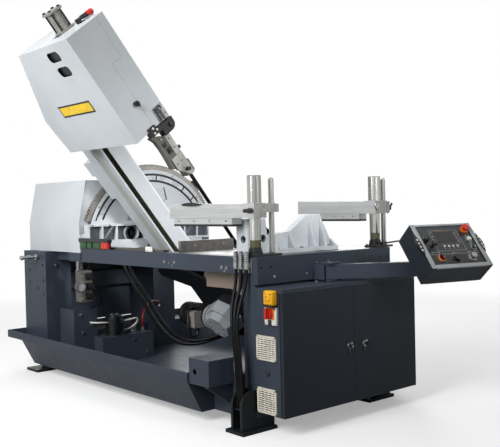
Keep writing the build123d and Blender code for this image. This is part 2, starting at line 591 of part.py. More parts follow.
control("estop_button", rod((0, 0, 14), (0, 0, 22), BUTTON_R), rod((0, 0, 22), (0, 0, 34), 20),
        rod((0, 0, 4), (0, 0, 15), BUTTON_R))
control("start_button", rod((0, 0, 4), (0, 0, 12), BUTTON_R), rod((0, 0, 12), (0, 0, 18), 13))
control("mode_selector", rod((0, 0, PANEL_T), (0, 0, 9), 15), block(-5, 5, -17, 17, 8, 24))
control("speed_dial", rod((0, 0, PANEL_T), (0, 0, 20), 20), block(-2, 2, 2, 19, 19, 22))
control("joystick", rod((0, 0, HUB_Z), (0, 0, 34), 5), Pos(0, 0, 39) * Sphere(15),
        stem=rod((-6.5, 0, HUB_Z), (6.5, 0, HUB_Z), 6))
lamps = []
for i in range(4):
    lamps.append(FACE * rod((155 + i * 29, -151, PANEL_T), (155 + i * 29, -151, PANEL_T + 6), 6))
for u, v, r, h in ((297, -231, 17, 26), (342, -164, 13, 12), (48, -110, 14, 24)):
    lamps.append(FACE * rod((u, v, PANEL_T), (u, v, PANEL_T + h), r))
u, v = controls["estop_button"]
collar = rod((u, v, PANEL_T), (u, v, PANEL_T + 9), 23) - rod((u, v, 0), (u, v, 20), BUTTON_R + FIT)
lamps.append(FACE * collar)
node("console_lamps", *lamps)

# Carriage casting with shoes, ribs and pivot housing
car_x = (14, FRAME_W - 14)
car = block(*car_x, CAR_Y1 - 20, CAR_Y1, CAR_Z0, CAR_Z1)
car += block(*car_x, CAR_Y0, CAR_Y1, CAR_Z1 - 15, CAR_Z1)
car += block(*car_x, CAR_Y0, CAR_Y1, CAR_Z0, CAR_Z0 + 15)
car += block(84, FRAME_W - 84, CAR_Y0, CAR_Y0 + 18, CAR_Z0 - 49, CAR_Z0 + 10)
for x in (14, 118, 232, 462, FRAME_W - 378, FRAME_W - 248, FRAME_W - 134, FRAME_W - 28):
    car += block(x, x + 14, CAR_Y0 + 4, CAR_Y1 - 10, CAR_Z0 + 10, CAR_Z1 - 10)
for x in (132, FRAME_W - 234):
    web = [(x, CAR_Z0 + 10), (x + 16, CAR_Z0 + 10), (x + 100, CAR_Z1 - 10), (x + 84, CAR_Z1 - 10)]
    car += prism_y(web, CAR_Y0 + 8, CAR_Y1 - 10)
for x in (14, FRAME_W - 96):
    car += block(x, x + 82, CAR_Y1 - 1, PED_Y0 - 20, CAR_Z0, CAR_Z0 + 60)
for x in (SIDE_W / 2, FRAME_W - SIDE_W / 2):
    car += block(x - 24, x + 24, CAR_Y0 + 6, PED_Y0 - 25, RAIL_TOP, CAR_Z0 + 1)
fan = (369, TABLE_H + 92)
car += rod((fan[0], CAR_Y0 + 8, fan[1]), (fan[0], CAR_Y1 - 10, fan[1]), 62)
car -= rod((fan[0], CAR_Y0, fan[1]), (fan[0], CAR_Y1 + 1, fan[1]), 50)
car += block(PIVOT_X - 115, PIVOT_X + 115, CAR_Y0, CAR_Y1, TABLE_H - 100, CAR_Z0 + 20)
car += rod((PIVOT_X, CAR_Y0, TABLE_H), (PIVOT_X, CAR_Y1, TABLE_H), 110)
car -= rod((PIVOT_X, CAR_Y0 - 1, TABLE_H), (PIVOT_X, CAR_Y1 + 1, TABLE_H), PIVOT_R + FIT)
node("carriage_casting", car)


def wedge(start, end):
    """Flat wedge about the tilt axis between two angles from upright, in x and z."""
    far = 2000
    points = [(0, 0)]
    steps = 4
    for k in range(steps + 1):
        angle = radians(start + (end - start) * k / steps)
        points.append((far * sin(angle), far * cos(angle)))
    return Polygon(*points, align=None)


def ring(outer, inner):
    """Flat ring."""
    return Circle(outer) - Circle(inner)


def to_carriage(face, y0, thick):
    """Stand a flat outline up on the tilt axis and thicken it backwards."""
    standing = Pos(PIVOT_X, y0, TABLE_H) * (Plane.XZ * face)
    return extrude(standing, amount=thick, dir=(0, 1, 0))


# Tilt sector and its toothed rim
span = wedge(SECTOR_FROM, SECTOR_TO)
keep = Pos(0, 1100) * Rectangle(4000, 2 * (1100 - (CAR_Z1 - 55 - TABLE_H)))
face = Circle(SECTOR_R) & span
slots = ring(512, 503) & wedge(SECTOR_FROM + 6, SECTOR_TO - 6)
slots += ring(464, 455) & wedge(SECTOR_FROM + 9, SECTOR_TO - 9)
for corners in (((310, -36), (240, -42), (285, -51)), ((427, 14), (348, 21), (300, 10), (380, 2))):
    face -= Polygon(*[(r * sin(radians(a)), r * cos(radians(a))) for r, a in corners], align=None)
sector = to_carriage(face & keep, CAR_Y1, SECTOR_T) - to_carriage(slots & keep, CAR_Y1 - 1, SLOT_DEEP + 1)
node("tilt_sector", sector)

pitch_r = GEAR_MODULE * GEAR_TEETH / 2
pinion_r = GEAR_MODULE * PINION_TEETH / 2


def tooth(radius, half, tip_half, root_half):
    """One straight-sided tooth pointing up at a pitch radius."""
    tip = radius + 0.85 * GEAR_MODULE
    root = radius - 1.35 * GEAR_MODULE
    return Polygon((-root_half, root), (-half, radius), (-tip_half, tip), (tip_half, tip), (half, radius),
                   (root_half, root), align=None)


half = (pi * GEAR_MODULE - BACKLASH * 2) / 4
tip_r = pitch_r + 0.85 * GEAR_MODULE
root_r = pitch_r - 1.35 * GEAR_MODULE
flank = ((root_r, -half - 2.6), (pitch_r, -half), (tip_r, 2.4 - half), (tip_r, half - 2.4), (pitch_r, half),
         (root_r, half + 2.6))
first = int((SECTOR_FROM + 2) * GEAR_TEETH / 360)
last = int((SECTOR_TO - 2) * GEAR_TEETH / 360)
rest_shift = TILT * GEAR_TEETH / 360
offset_angle = (round(rest_shift) - rest_shift) * 360 / GEAR_TEETH
rim = []
for k in range(first, last + 1):
    middle = radians(k * 360 / GEAR_TEETH + offset_angle)
    for radius, side in flank:
        angle = middle + side / radius
        rim.append((radius * sin(angle), radius * cos(angle)))
for k in range(last, first - 1, -1):
    angle = radians(k * 360 / GEAR_TEETH + offset_angle)
    rim.append((RIM_IN * sin(angle), RIM_IN * cos(angle)))
gear = to_carriage(Polygon(*rim, align=None), CAR_Y1 + SECTOR_T, GEAR_T)
gear &= block(PIVOT_X - 2000, PIVOT_X + 2000, CAR_Y0, CAR_Y1 + 100, CAR_Z1 - 55, TABLE_H + 1100)
node("tilt_gear", gear)

# Tilt pinion and gear motor on the back of the column
pinion_tooth = tooth(pinion_r, half, half - 2.7, half + 1.2)
pinion = Circle(pinion_r - 1.25 * GEAR_MODULE)
for k in range(PINION_TEETH):
    pinion += Rot(0, 0, (k + 0.5) * 360 / PINION_TEETH + 180) * pinion_tooth
mesh_r = pitch_r + pinion_r
pinion_y = CAR_Y1 + SECTOR_T
wheel = extrude(Pos(0, pinion_y, mesh_r) * (Plane.XZ * pinion), amount=GEAR_T, dir=(0, 1, 0))
wheel += rod((0, COL_Y1 + 20, mesh_r), (0, pinion_y + 1, mesh_r), 12)
head_node("tilt_pinion", wheel)
motor = block(-66, 66, COL_Y1, COL_Y1 + 78, mesh_r - 140, mesh_r + 170)
motor -= rod((0, COL_Y1 + 19, mesh_r), (0, COL_Y1 + 80, mesh_r), 12 + FIT)
motor += block(-66, 40, COL_Y1 + 77, COL_Y1 + 112, mesh_r + 60, mesh_r + 170)
head_node("tilt_motor", motor)

# Head frame: column, wheel plates, return strand guard and pivot shaft
frame = block(COL_X0, COL_X1, COL_Y0, COL_Y1, COL_Z0, COL_Z1)
frame -= block(COL_X0 + COL_WALL, COL_X1 - COL_WALL, COL_Y0 + COL_WALL, COL_Y1 - COL_WALL,
               COL_Z0 - 1, COL_Z1 + 1)
rail_y0 = SLIDE_Y0 - 40
nose_y = COL_Y0 - COL_NOSE
high = [(nose_y, COL_Z1 - 50), (COL_Y1, COL_Z1 - 50), (COL_Y1, COL_Z1), (COL_Y0 + 25, COL_Z1),
        (COL_Y0 + 25, WHEEL_TOP - 150), (COL_Y0 - 135, WHEEL_TOP + 170), (rail_y0, WHEEL_TOP + 170),
        (rail_y0, WHEEL_TOP - 150), (nose_y, COL_Z1 + 26)]
frame += prism_x(high, COL_X0 - PLATE_T, COL_X0)
GUARD_Z1 = WHEEL_LOW + 340
GUARD_Z0 = WHEEL_LOW - 336
low = [(1030, WHEEL_LOW + 125), (COL_Y0, GUARD_Z1), (COL_Y1, GUARD_Z1), (COL_Y1, GUARD_Z1 - 35),
       (COL_Y1 + 100, GUARD_Z1 - 45), (COL_Y1 + 100, GUARD_Z1 - 100), (COL_Y0, GUARD_Z1 - 184),
       (COL_Y0, LOW_END), (1250, LOW_END), (1030, WHEEL_LOW - 130)]
plate = prism_x(low, COL_X0 - PLATE_T, COL_X0)
plate -= rod((COL_X0 - PLATE_T - 1, WHEEL_Y, WHEEL_LOW), (COL_X0 + 1, WHEEL_Y, WHEEL_LOW), AXLE_R + 3)
frame += plate
for y in (SLIDE_Y0 - 25, SLIDE_Y1 + 1):
    frame += block(COL_X0, COL_X0 + 22, y, y + 24, WHEEL_TOP - 140, WHEEL_TOP + 160)
for y, z in ((1250, WHEEL_TOP - 220), (1010, WHEEL_TOP + 110), (1330, WHEEL_TOP + 110)):
    frame += rod((COL_X0 - PLATE_T, y, z), (HOUSE_X0 + SHEET, y, z), 12)
frame += block(COL_X0, COL_X0 + COL_WALL, nose_y, COL_Y0, -20, COL_Z1)
frame -= block(COL_X0 - 1, COL_X0 + 6, COL_Y0 + 14, COL_Y0 + 88, -110, COL_Z1 - 60)
frame += block(STRAND_X0, COL_X1, GUARD_Y0, GUARD_Y0 + 4, -20, COL_Z1)
frame += block(COL_X1 - 4, COL_X1, GUARD_Y0, COL_Y0, -20, COL_Z1)
frame += rod((0, COL_Y1, 0), (0, CAR_Y1, 0), PIVOT_R)
frame += rod((0, CAR_Y1, 0), (0, CAR_Y1 + 15, 0), 80)
head_node("head_frame", frame)

# Upper wheel housing and its door
brow_z = WHEEL_TOP - 107
side = [(HOUSE_Y0, HOUSE_Z0), (HOUSE_Y0, HOUSE_Z1), (HINGE_Y - 240, HOUSE_Z1), (HINGE_Y - 8, brow_z),
        (HINGE_Y - 40, HOUSE_Z0)]
inner = [(HOUSE_Y0 + SHEET, HOUSE_Z0 + SHEET), (HOUSE_Y0 + SHEET, HOUSE_Z1 - SHEET),
         (HINGE_Y - 242, HOUSE_Z1 - SHEET), (HINGE_Y - 11.2, brow_z - 0.4),
         (HINGE_Y - 42.7, HOUSE_Z0 + SHEET)]
house = prism_x(side, HOUSE_X0, HOUSE_X1 - SHEET) - prism_x(inner, HOUSE_X0 + SHEET, HOUSE_X1)
house -= block(SEAM_LOW, HOUSE_X1, HOUSE_Y0 - 1, HINGE_Y - 48, HOUSE_Z0 - 1, HOUSE_Z0 + SHEET + 1)
house -= block(SEAM_LOW, HOUSE_X1, HOUSE_Y0 - 1, HOUSE_Y0 + SHEET + 1, HOUSE_Z0 - 1, SEAM_Z)
house -= block(SEAM_HIGH, HOUSE_X1, HOUSE_Y0 - 1, HOUSE_Y0 + SHEET + 1, SEAM_Z - 1, HOUSE_Z1 + 1)
house -= block(SEAM_HIGH, HOUSE_X1, HOUSE_Y0 - 1, HINGE_Y - 258, HOUSE_Z1 - SHEET - 1, HOUSE_Z1 + 1)
house -= block(COL_X0 - PLATE_T - 1, COL_X0 + 1, nose_y - 1, COL_Y0 + 26,
               HOUSE_Z0 - 1, HOUSE_Z0 + SHEET + 1)
for y, z in ((HOUSE_Y0 + 227, HOUSE_Z1 - 75), (HOUSE_Y0 + 219, HOUSE_Z1 - 171)):
    hole = Plane.YZ * (Pos(y, z) * RectangleRounded(125, 62, 26))
    house -= extrude(Pos(HOUSE_X0 - 1, 0, 0) * hole, amount=SHEET + 2, dir=(1, 0, 0))
TENSION_X = -57.0
TENSION_Y = 1015.0
house -= rod((TENSION_X, TENSION_Y, HOUSE_Z1 - SHEET - 1), (TENSION_X, TENSION_Y, HOUSE_Z1 + 1), 16)
KNOB_R = 15.0
KNOB_X = SEAM_LOW - KNOB_R - 4
KNOB_Z = WHEEL_TOP - 175
house -= rod((KNOB_X, HOUSE_Y0 - 1, KNOB_Z), (KNOB_X, HOUSE_Y0 + SHEET + 1, KNOB_Z), 7 + FIT)
for z in HINGE_Z:
    knuckle = block(HOUSE_X1 - 24, HOUSE_X1 - SHEET, HINGE_Y - 48, HINGE_Y - 9, z - 24, z + 24)
    house += knuckle - prism_x(inner, HOUSE_X1 - 30, HOUSE_X1)
    house += rod((HINGE_X, HINGE_Y, z - 24), (HINGE_X, HINGE_Y, z), 9)
    house += block(HOUSE_X1 - 24, HINGE_X, HINGE_Y - 9, HINGE_Y + 4, z - 24, z)
    house += rod((HINGE_X, HINGE_Y, z - 1), (HINGE_X, HINGE_Y, z + 20), 4)
head_node("wheel_housing", house)

lid = prism_x(side, HOUSE_X1 - SHEET, HOUSE_X1)
lid += block(SEAM_LOW + 1, HOUSE_X1, HOUSE_Y0, HOUSE_Y0 + SHEET, HOUSE_Z0, SEAM_Z - 1)
lid += block(SEAM_HIGH + 1, HOUSE_X1, HOUSE_Y0, HOUSE_Y0 + SHEET, SEAM_Z - 1, HOUSE_Z1)
lid += block(SEAM_HIGH + 1, HOUSE_X1, HOUSE_Y0, HINGE_Y - 259, HOUSE_Z1 - SHEET, HOUSE_Z1)
lid += block(-12, 54, HOUSE_Y0 - 18, HOUSE_Y0, HOUSE_Z0 + 3, HOUSE_Z0 + 93)
for z in HINGE_Z:
    leaf = block(HOUSE_X1, HINGE_X + 8, HINGE_Y - 88, HINGE_Y, z + 0.5, z + 24)
    leaf += rod((HINGE_X, HINGE_Y, z + 0.5), (HINGE_X, HINGE_Y, z + 24), 9)
    lid += leaf - rod((HINGE_X, HINGE_Y, z), (HINGE_X, HINGE_Y, z + 22), 4 + FIT)
head_node("housing_door", lid)
knob = rod((KNOB_X, HOUSE_Y0 + 14, KNOB_Z), (KNOB_X, HOUSE_Y0, KNOB_Z), 7)
knob += rod((KNOB_X, HOUSE_Y0, KNOB_Z), (KNOB_X, HOUSE_Y0 - 26, KNOB_Z), KNOB_R)
knob += block(KNOB_X - 5, KNOB_X + 5, HOUSE_Y0 - 34, HOUSE_Y0 - 25, KNOB_Z - 18, KNOB_Z + 18)
head_node("door_knob", knob)

# Tension cylinder with its valve, and the tension slide with axle and rod
tension = block(TENSION_X - 52, TENSION_X + 52, TENSION_Y - 52, TENSION_Y + 52, HOUSE_Z1, HOUSE_Z1 + 12)
tension += rod((TENSION_X, TENSION_Y, HOUSE_Z1 + 12), (TENSION_X, TENSION_Y, HOUSE_Z1 + 105), 37)
tension += block(TENSION_X - 44, TENSION_X + 44, TENSION_Y - 44, TENSION_Y + 44,
                 HOUSE_Z1 + 104, HOUSE_Z1 + 118)
for x in (TENSION_X - 38, TENSION_X + 38):
    for y in (TENSION_Y - 38, TENSION_Y + 38):
        tension += rod((x, y, HOUSE_Z1 + 11), (x, y, HOUSE_Z1 + 105), 5)
tension -= rod((TENSION_X, TENSION_Y, HOUSE_Z1 - 1), (TENSION_X, TENSION_Y, HOUSE_Z1 + 100), 12 + FIT)
tension += block(TENSION_X + 50, TENSION_X + 66, TENSION_Y - 100, TENSION_Y - 30, HOUSE_Z1, HOUSE_Z1 + 34)
tension += rod((TENSION_X + 58, TENSION_Y - 97, HOUSE_Z1 + 18),
               (TENSION_X + 109, TENSION_Y - 107, HOUSE_Z1 + 15), 8)
tension += rod((TENSION_X + 107, TENSION_Y - 107, HOUSE_Z1 + 15),
               (TENSION_X + 160, TENSION_Y - 113, HOUSE_Z1 + 14), 12)
head_node("tension_cylinder", tension)
slide = block(COL_X0, COL_X0 + 20, SLIDE_Y0, SLIDE_Y1, WHEEL_TOP - SLIDE_HALF, WHEEL_TOP + SLIDE_HALF)
slide += rod((COL_X0 + 10, WHEEL_Y, WHEEL_TOP), (WHEEL_W / 2 + 8, WHEEL_Y, WHEEL_TOP), AXLE_R)
slide += rod((TENSION_X, TENSION_Y, WHEEL_TOP + SLIDE_HALF - 5), (TENSION_X, TENSION_Y, HOUSE_Z1 + 60), 12)
slide += rod((COL_X0 + 10, WHEEL_Y, WHEEL_TOP), (-WHEEL_W / 2 - 8, WHEEL_Y, WHEEL_TOP), 48)
head_node("tension_slide", slide)


def band_wheel(z, bore):
    """Spoked band wheel on an axis along x."""
    profile = [(bore, -WHEEL_W / 2 - 7), (62, -WHEEL_W / 2 - 7), (70, -8), (WHEEL_R - 26, -8),
               (WHEEL_R - 24, -WHEEL_W / 2), (WHEEL_R, -WHEEL_W / 2), (WHEEL_R, WHEEL_W / 2),
               (WHEEL_R - 24, WHEEL_W / 2), (WHEEL_R - 26, 8), (70, 8), (62, WHEEL_W / 2 + 7),
               (bore, WHEEL_W / 2 + 7)]
    disc = revolve(Plane.XZ * Polygon(*profile, align=None), Axis.Z)
    for k in range(6):
        angle = radians(60 * k)
        centre = (178 * cos(angle), 178 * sin(angle))
        disc -= rod((*centre, -30), (*centre, 30), 58)
    return Pos(0, WHEEL_Y, z) * Rot(0, 90, 0) * disc


head_node("idler_wheel", band_wheel(WHEEL_TOP, AXLE_R + FIT))
drive = band_wheel(WHEEL_LOW, AXLE_R - 6)
drive += rod((-200, WHEEL_Y, WHEEL_LOW), (WHEEL_W / 2 + 12, WHEEL_Y, WHEEL_LOW), AXLE_R)
head_node("drive_wheel", drive)

# Gearbox and drive motor
box = rod((COL_X0 - PLATE_T, WHEEL_Y, WHEEL_LOW), (-112, WHEEL_Y, WHEEL_LOW), 118)
cone = Solid.make_cone(108, 78, 170, Plane((-110, WHEEL_Y, WHEEL_LOW), z_dir=(-1, 0, 0)))
box += cone
box += rod((-205, WHEEL_Y, WHEEL_LOW), (-205, 1282, WHEEL_LOW), 66)
box += rod((-205, 1276, WHEEL_LOW), (-205, 1290, WHEEL_LOW), 84)
box -= rod((COL_X0 - PLATE_T + 1, WHEEL_Y, WHEEL_LOW), (-202, WHEEL_Y, WHEEL_LOW), AXLE_R + FIT)
head_node("gearbox", box)
power = rod((-205, 1290, WHEEL_LOW), (-205, 1570, WHEEL_LOW), 84)
for k in range(7):
    groove = rod((-205, 1320 + k * 26, WHEEL_LOW), (-205, 1332 + k * 26, WHEEL_LOW), 90)
    groove -= rod((-205, 1319 + k * 26, WHEEL_LOW), (-205, 1333 + k * 26, WHEEL_LOW), 76)
    power -= groove
power += block(-342, -250, 1370, 1480, WHEEL_LOW - 52, WHEEL_LOW + 52)
head_node("drive_motor", power)

# Lower wheel guard and lower blade guide
guard_y = (BLADE_Y - 28, COL_Y0 - 15)
shell = [(guard_y[0], GUARD_Z1), (guard_y[1], GUARD_Z1), (guard_y[1], GUARD_Z0), (guard_y[0], GUARD_Z0)]
hollow = [(guard_y[0] + 4, GUARD_Z1 - 4), (guard_y[1] - 4, GUARD_Z1 - 4), (guard_y[1] - 4, GUARD_Z0 + 4),
          (guard_y[0] + 4, GUARD_Z0 + 4)]
guard = prism_x(shell, COL_X0, 58) - prism_x(hollow, COL_X0 - 1, 54)
guard -= block(COL_X0 - 1, 30, BLADE_Y - 30, BLADE_Y + 30, GUARD_Z1 - 6, GUARD_Z1 + 2)
guard -= block(COL_X0 - 1, 30, COL_Y0 - 75, COL_Y0 - 25, GUARD_Z1 - 6, GUARD_Z1 + 2)
head_node("lower_guard", guard)
under_z = (GUARD_Z1 + 2, GUARD_Z1 + 52)
under = block(-25, 25, BLADE_Y + 22, BLADE_Y + 60, *under_z)
under += block(-25, -3, BLADE_Y - 24, BLADE_Y + 24, *under_z)
under += block(3, 25, BLADE_Y - 24, BLADE_Y + 24, *under_z)
under += block(-20, 20, BLADE_Y + 58, BLADE_Y + 120, GUARD_Z1, GUARD_Z1 + 20)
head_node("lower_guide", under)

# Upper guide bracket and sliding guide arm
BAR_Y0 = BLADE_Y - 40
BAR_Y1 = BLADE_Y - 25
BAR_X0 = -32.0
BAR_X1 = 8.0
grip_z = HOUSE_Z0 - 75
clampb = block(-38, 62, BAR_Y0 - 36, BAR_Y1 + 3, grip_z, grip_z + 70)
clampb = round_edge(clampb, Axis.Y, (62, BAR_Y0, grip_z), 40)
clampb += block(-116, -36, BAR_Y0 - 36, BAR_Y1 + 3, grip_z + 43, grip_z + 70)
clampb += block(-116, -66, BAR_Y0 - 36, HOUSE_Y0, grip_z + 43, HOUSE_Z0 + 22)
clampb += block(-112, -66, HOUSE_Y0, BAR_Y1 + 2, grip_z + 69, HOUSE_Z0)
clampb -= block(BAR_X0 - FIT, BAR_X1 + FIT, BAR_Y0 - FIT, BAR_Y1 + 4, grip_z - 1, grip_z + 71)
clampb += block(BAR_X0 - 6, BAR_X0 + 6, BAR_Y1 + FIT, BAR_Y1 + 4, grip_z + 5, grip_z + 65)
clampb += block(BAR_X1 - 6, BAR_X1 + 12, BAR_Y1 + FIT, BAR_Y1 + 4, grip_z + 5, grip_z + 65)
head_node("guide_bracket", clampb)
tip_z = grip_z - 297
arm = block(BAR_X0, BAR_X1, BAR_Y0, BAR_Y1, tip_z + 10, tip_z + 835)
toe = [(-82, 155), (8, 155), (8, 1), (-18, 1), (-82, 79)]
arm += prism_y([(x, tip_z + climb) for x, climb in toe], BAR_Y0 - 4, BAR_Y1)
arm += block(-34, -2, BAR_Y1 - 1, BLADE_Y + 34, tip_z, tip_z + 80)
arm += block(2, 34, BLADE_Y - 22, BLADE_Y + 34, tip_z, tip_z + 80)
arm += block(-34, 34, BLADE_Y + 24, BLADE_Y + 36, tip_z, tip_z + 80)
bends = [(-104, 106), (-86, 90), (-80, 150), (-31, 150), (-31, 290), (-60, 312), (-96, 333), (-117, 333),
         (-99, 296), (-95, 238), (-98, 175)]
arm += prism_y([(x, tip_z + climb) for x, climb in bends], BAR_Y0 + 4, BLADE_Y + 2)
arm += rod((-24, BAR_Y0 - 3, tip_z + 47), (-24, BAR_Y0 - 28, tip_z + 47), 12)
bar_mid = (BAR_Y0 + BAR_Y1) / 2
arm += rod((BAR_X1 - 1, bar_mid, tip_z + 180), (BAR_X1 + 16, bar_mid, tip_z + 180), 11)
head_node("guide_arm", arm)

# Saw blade: plain loop over the wheels, with a quarter twist each way in front
loop_r = WHEEL_R + GAP
outer_r = loop_r + BLADE_T
TWIST_HIGH = tip_z + 100
TWIST_LOW = GUARD_Z1 - 6
TWIST_TOP = WHEEL_TOP - 60
band_half = BLADE_W / 2
solid_loop = prism_x([(WHEEL_Y - outer_r, WHEEL_LOW), (WHEEL_Y + outer_r, WHEEL_LOW),
                      (WHEEL_Y + outer_r, WHEEL_TOP), (WHEEL_Y - outer_r, WHEEL_TOP)], -band_half, band_half)
core_loop = prism_x([(WHEEL_Y - loop_r, WHEEL_LOW), (WHEEL_Y + loop_r, WHEEL_LOW),
                     (WHEEL_Y + loop_r, WHEEL_TOP), (WHEEL_Y - loop_r, WHEEL_TOP)], -band_half, band_half)
for z in (WHEEL_TOP, WHEEL_LOW):
    solid_loop += rod((-band_half, WHEEL_Y, z), (band_half, WHEEL_Y, z), outer_r)
    core_loop += rod((-band_half, WHEEL_Y, z), (band_half, WHEEL_Y, z), loop_r)
blade = solid_loop - core_loop
blade -= block(-60, 60, BLADE_Y - 10, BLADE_Y + 10, WHEEL_LOW + 20, TWIST_TOP)


def twist(z0, z1, start, turn):
    """Ruled strip between two heights that turns about its own middle."""
    sections = []
    steps = 4
    for k in range(steps + 1):
        level = z0 + (z1 - z0) * k / steps
        spin = start + turn * k / steps
        sections.append(Pos(0, BLADE_Y, level) * Rot(0, 0, spin) * Rectangle(BLADE_W, BLADE_T))
    return loft(sections, ruled=True)


blade += twist(WHEEL_LOW + 20, TWIST_LOW, 0, 90)
blade += block(-BLADE_T / 2, BLADE_T / 2, BLADE_Y - band_half, BLADE_Y + band_half, TWIST_LOW, TWIST_HIGH)
blade += twist(TWIST_HIGH, TWIST_TOP, 90, 90)
head_node("blade", blade)

# Junction box, couplers and hoses
BOX_TOP = 370.0
junction = block(-190, -20, 180, 350, 232, BOX_TOP) - block(-186, -24, 184, 346, 228, BOX_TOP - 4)
junction -= rod((-191, 300, 300), (-180, 300, 300), 15)
junction += prism_y([(-40, 128), (-20, 128), (-20, 240), (-188, 240), (-188, 226)], 196, 212)
node("junction_box", junction)
hardware = list(jacks)
couplers = block(-6, 0, 34, 176, TABLE_H - 84, TABLE_H - 8)
hoses = []
for k in range(3):
    y = 60 + 42 * k
    couplers += block(-30, -6, y - 12, y + 12, TABLE_H - 54, TABLE_H - 30)
    couplers += rod((-20, y, TABLE_H - 62), (-20, y, TABLE_H + 30), 13)
    end_y = 51 + 18.25 * k
    hoses.append(hose([(-20, y, TABLE_H - 62), (-20, y, TABLE_H - 150),
                       (-48, (y + end_y) / 2, TABLE_H - 290), (-74, end_y, TABLE_H - 430),
                       (-74, end_y, HOSE_SEAT)], 9))
hardware.append(couplers)
for y, drop in ((817, 53), (717, 53), (285, 64), (243, 64)):
    z = TABLE_H - drop
    hardware.append(rod((0, y, z), (-12, y, z), 13))
    hardware.append(rod((FRAME_W, y, z), (FRAME_W + 12, y, z), 13))
for k in range(4):
    x = 117 + k * (FRAME_W - 343) / 3
    hardware.append(rod((x, 0, BEAM_Z0 - 8), (x, -6, BEAM_Z0 - 8), 7))
pipe_end = -PED_OUT - 140
pipe = rod((-PED_OUT, PED_Y0 + 105, PED_TOP - 42), (pipe_end, PED_Y0 + 105, PED_TOP - 42), 11)
for x0, x1, radius in ((-PED_OUT, -PED_OUT - 26, 20), (-PED_OUT - 62, -PED_OUT - 88, 17),
                       (pipe_end + 22, pipe_end, 16)):
    pipe += rod((x0, PED_Y0 + 105, PED_TOP - 42), (x1, PED_Y0 + 105, PED_TOP - 42), radius)
hardware.append(pipe)
node("base_hardware", *hardware)
node("hose_bundle", *hoses)

loops = []
for k in range(2):
    shift = Vector(14 * k, -30 * k, 26 * k)
    falls = [(276, 1734, 14), (276, 1734, 110), (310, 1680, 240), (368, 1622, 380), (420, 1556, 530),
             (486, 1470, 650), (570, 1376, 685), (660, 1270, 660), (740, 1190, 615)]
    route = [(x, y, TABLE_H - fall) for x, y, fall in falls]
    points = [Vector(*p) + shift for p in route[2:]]
    for p in (route[1], route[0]):
        points.insert(0, Vector(*p) + Vector(34 * k, 0, 0))
    loops.append(hose([tuple(p) for p in points], 13))
node("hose_loop", *loops)

os.makedirs("parts", exist_ok=True)
for name, solids in NODES.items():
    moved = [Pos(-ORIGIN_X, -ORIGIN_Y, 0) * s for s in solids]
    shape = moved[0] if len(moved) == 1 else Compound(children=moved)
    export_step(shape, "parts/" + name + ".step")
print(len(NODES), "pieces")


def tell(name, place):
    """Print a joint place in metres in the exported frame."""
    spot = (place.X - ORIGIN_X, place.Y - ORIGIN_Y, place.Z)
    print(name, [round(v / 1000, 6) for v in spot])


def at(frame, *point):
    """A point of a frame, in machine coordinates."""
    return (frame * Pos(*point)).position


tell("tilt", Vector(PIVOT_X, CAR_Y0, TABLE_H))
tell("pinion", at(HEAD, 0, pinion_y, mesh_r))
tell("idler", at(HEAD, 0, WHEEL_Y, WHEEL_TOP))
tell("drive", at(HEAD, 0, WHEEL_Y, WHEEL_LOW))
tell("housing door", at(HEAD, HINGE_X, HINGE_Y, 1200))
tell("door knob", at(HEAD, KNOB_X, HOUSE_Y0, KNOB_Z))
tell("left cabinet door", Vector(DOOR_PIN, pin_y, 400))
tell("right cabinet door", Vector(CAB_W - DOOR_PIN, pin_y, 400))
tell("door lock", Vector(LOCK_X[1], door_y0, LOCK_Z))
tell("switch", Vector(-18, SWITCH_Y, SWITCH_Z))
tell("boom", Vector(bx, by, BOOM_Z0))
tell("console", Vector(swivel_x, swivel_y, boom_top))
for name, (u, v) in controls.items():
    tell(name, at(FACE, u, v, HUB_Z))
for lever_place in LEVERS:
    tell("clamp lever", Vector(*lever_place))
print("face normal", [round(c, 6) for c in (at(FACE, 0, 0, 1) - at(FACE, 0, 0, 0))])
print("head up", [round(c, 6) for c in (at(HEAD, 0, 0, 1) - at(HEAD, 0, 0, 0))])
print("head right", [round(c, 6) for c in (at(HEAD, 1, 0, 0) - at(HEAD, 0, 0, 0))])
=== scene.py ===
"""Finishes, fasteners, hoses and fittings of a tilt-frame vertical band saw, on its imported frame.

Pieces are drawn in metres in one of a few local frames. The machine frame starts at the left
front corner of the front beam, on the floor. The head frame stands on the tilt axis and leans
over with the head. The face frame lies on the console's face.
"""
import json
import logging
import math
from dataclasses import dataclass
from enum import Enum
from functools import cache
from typing import Any, Callable, Iterable, Sequence

import bmesh
import bpy
from mathutils import Matrix, Vector

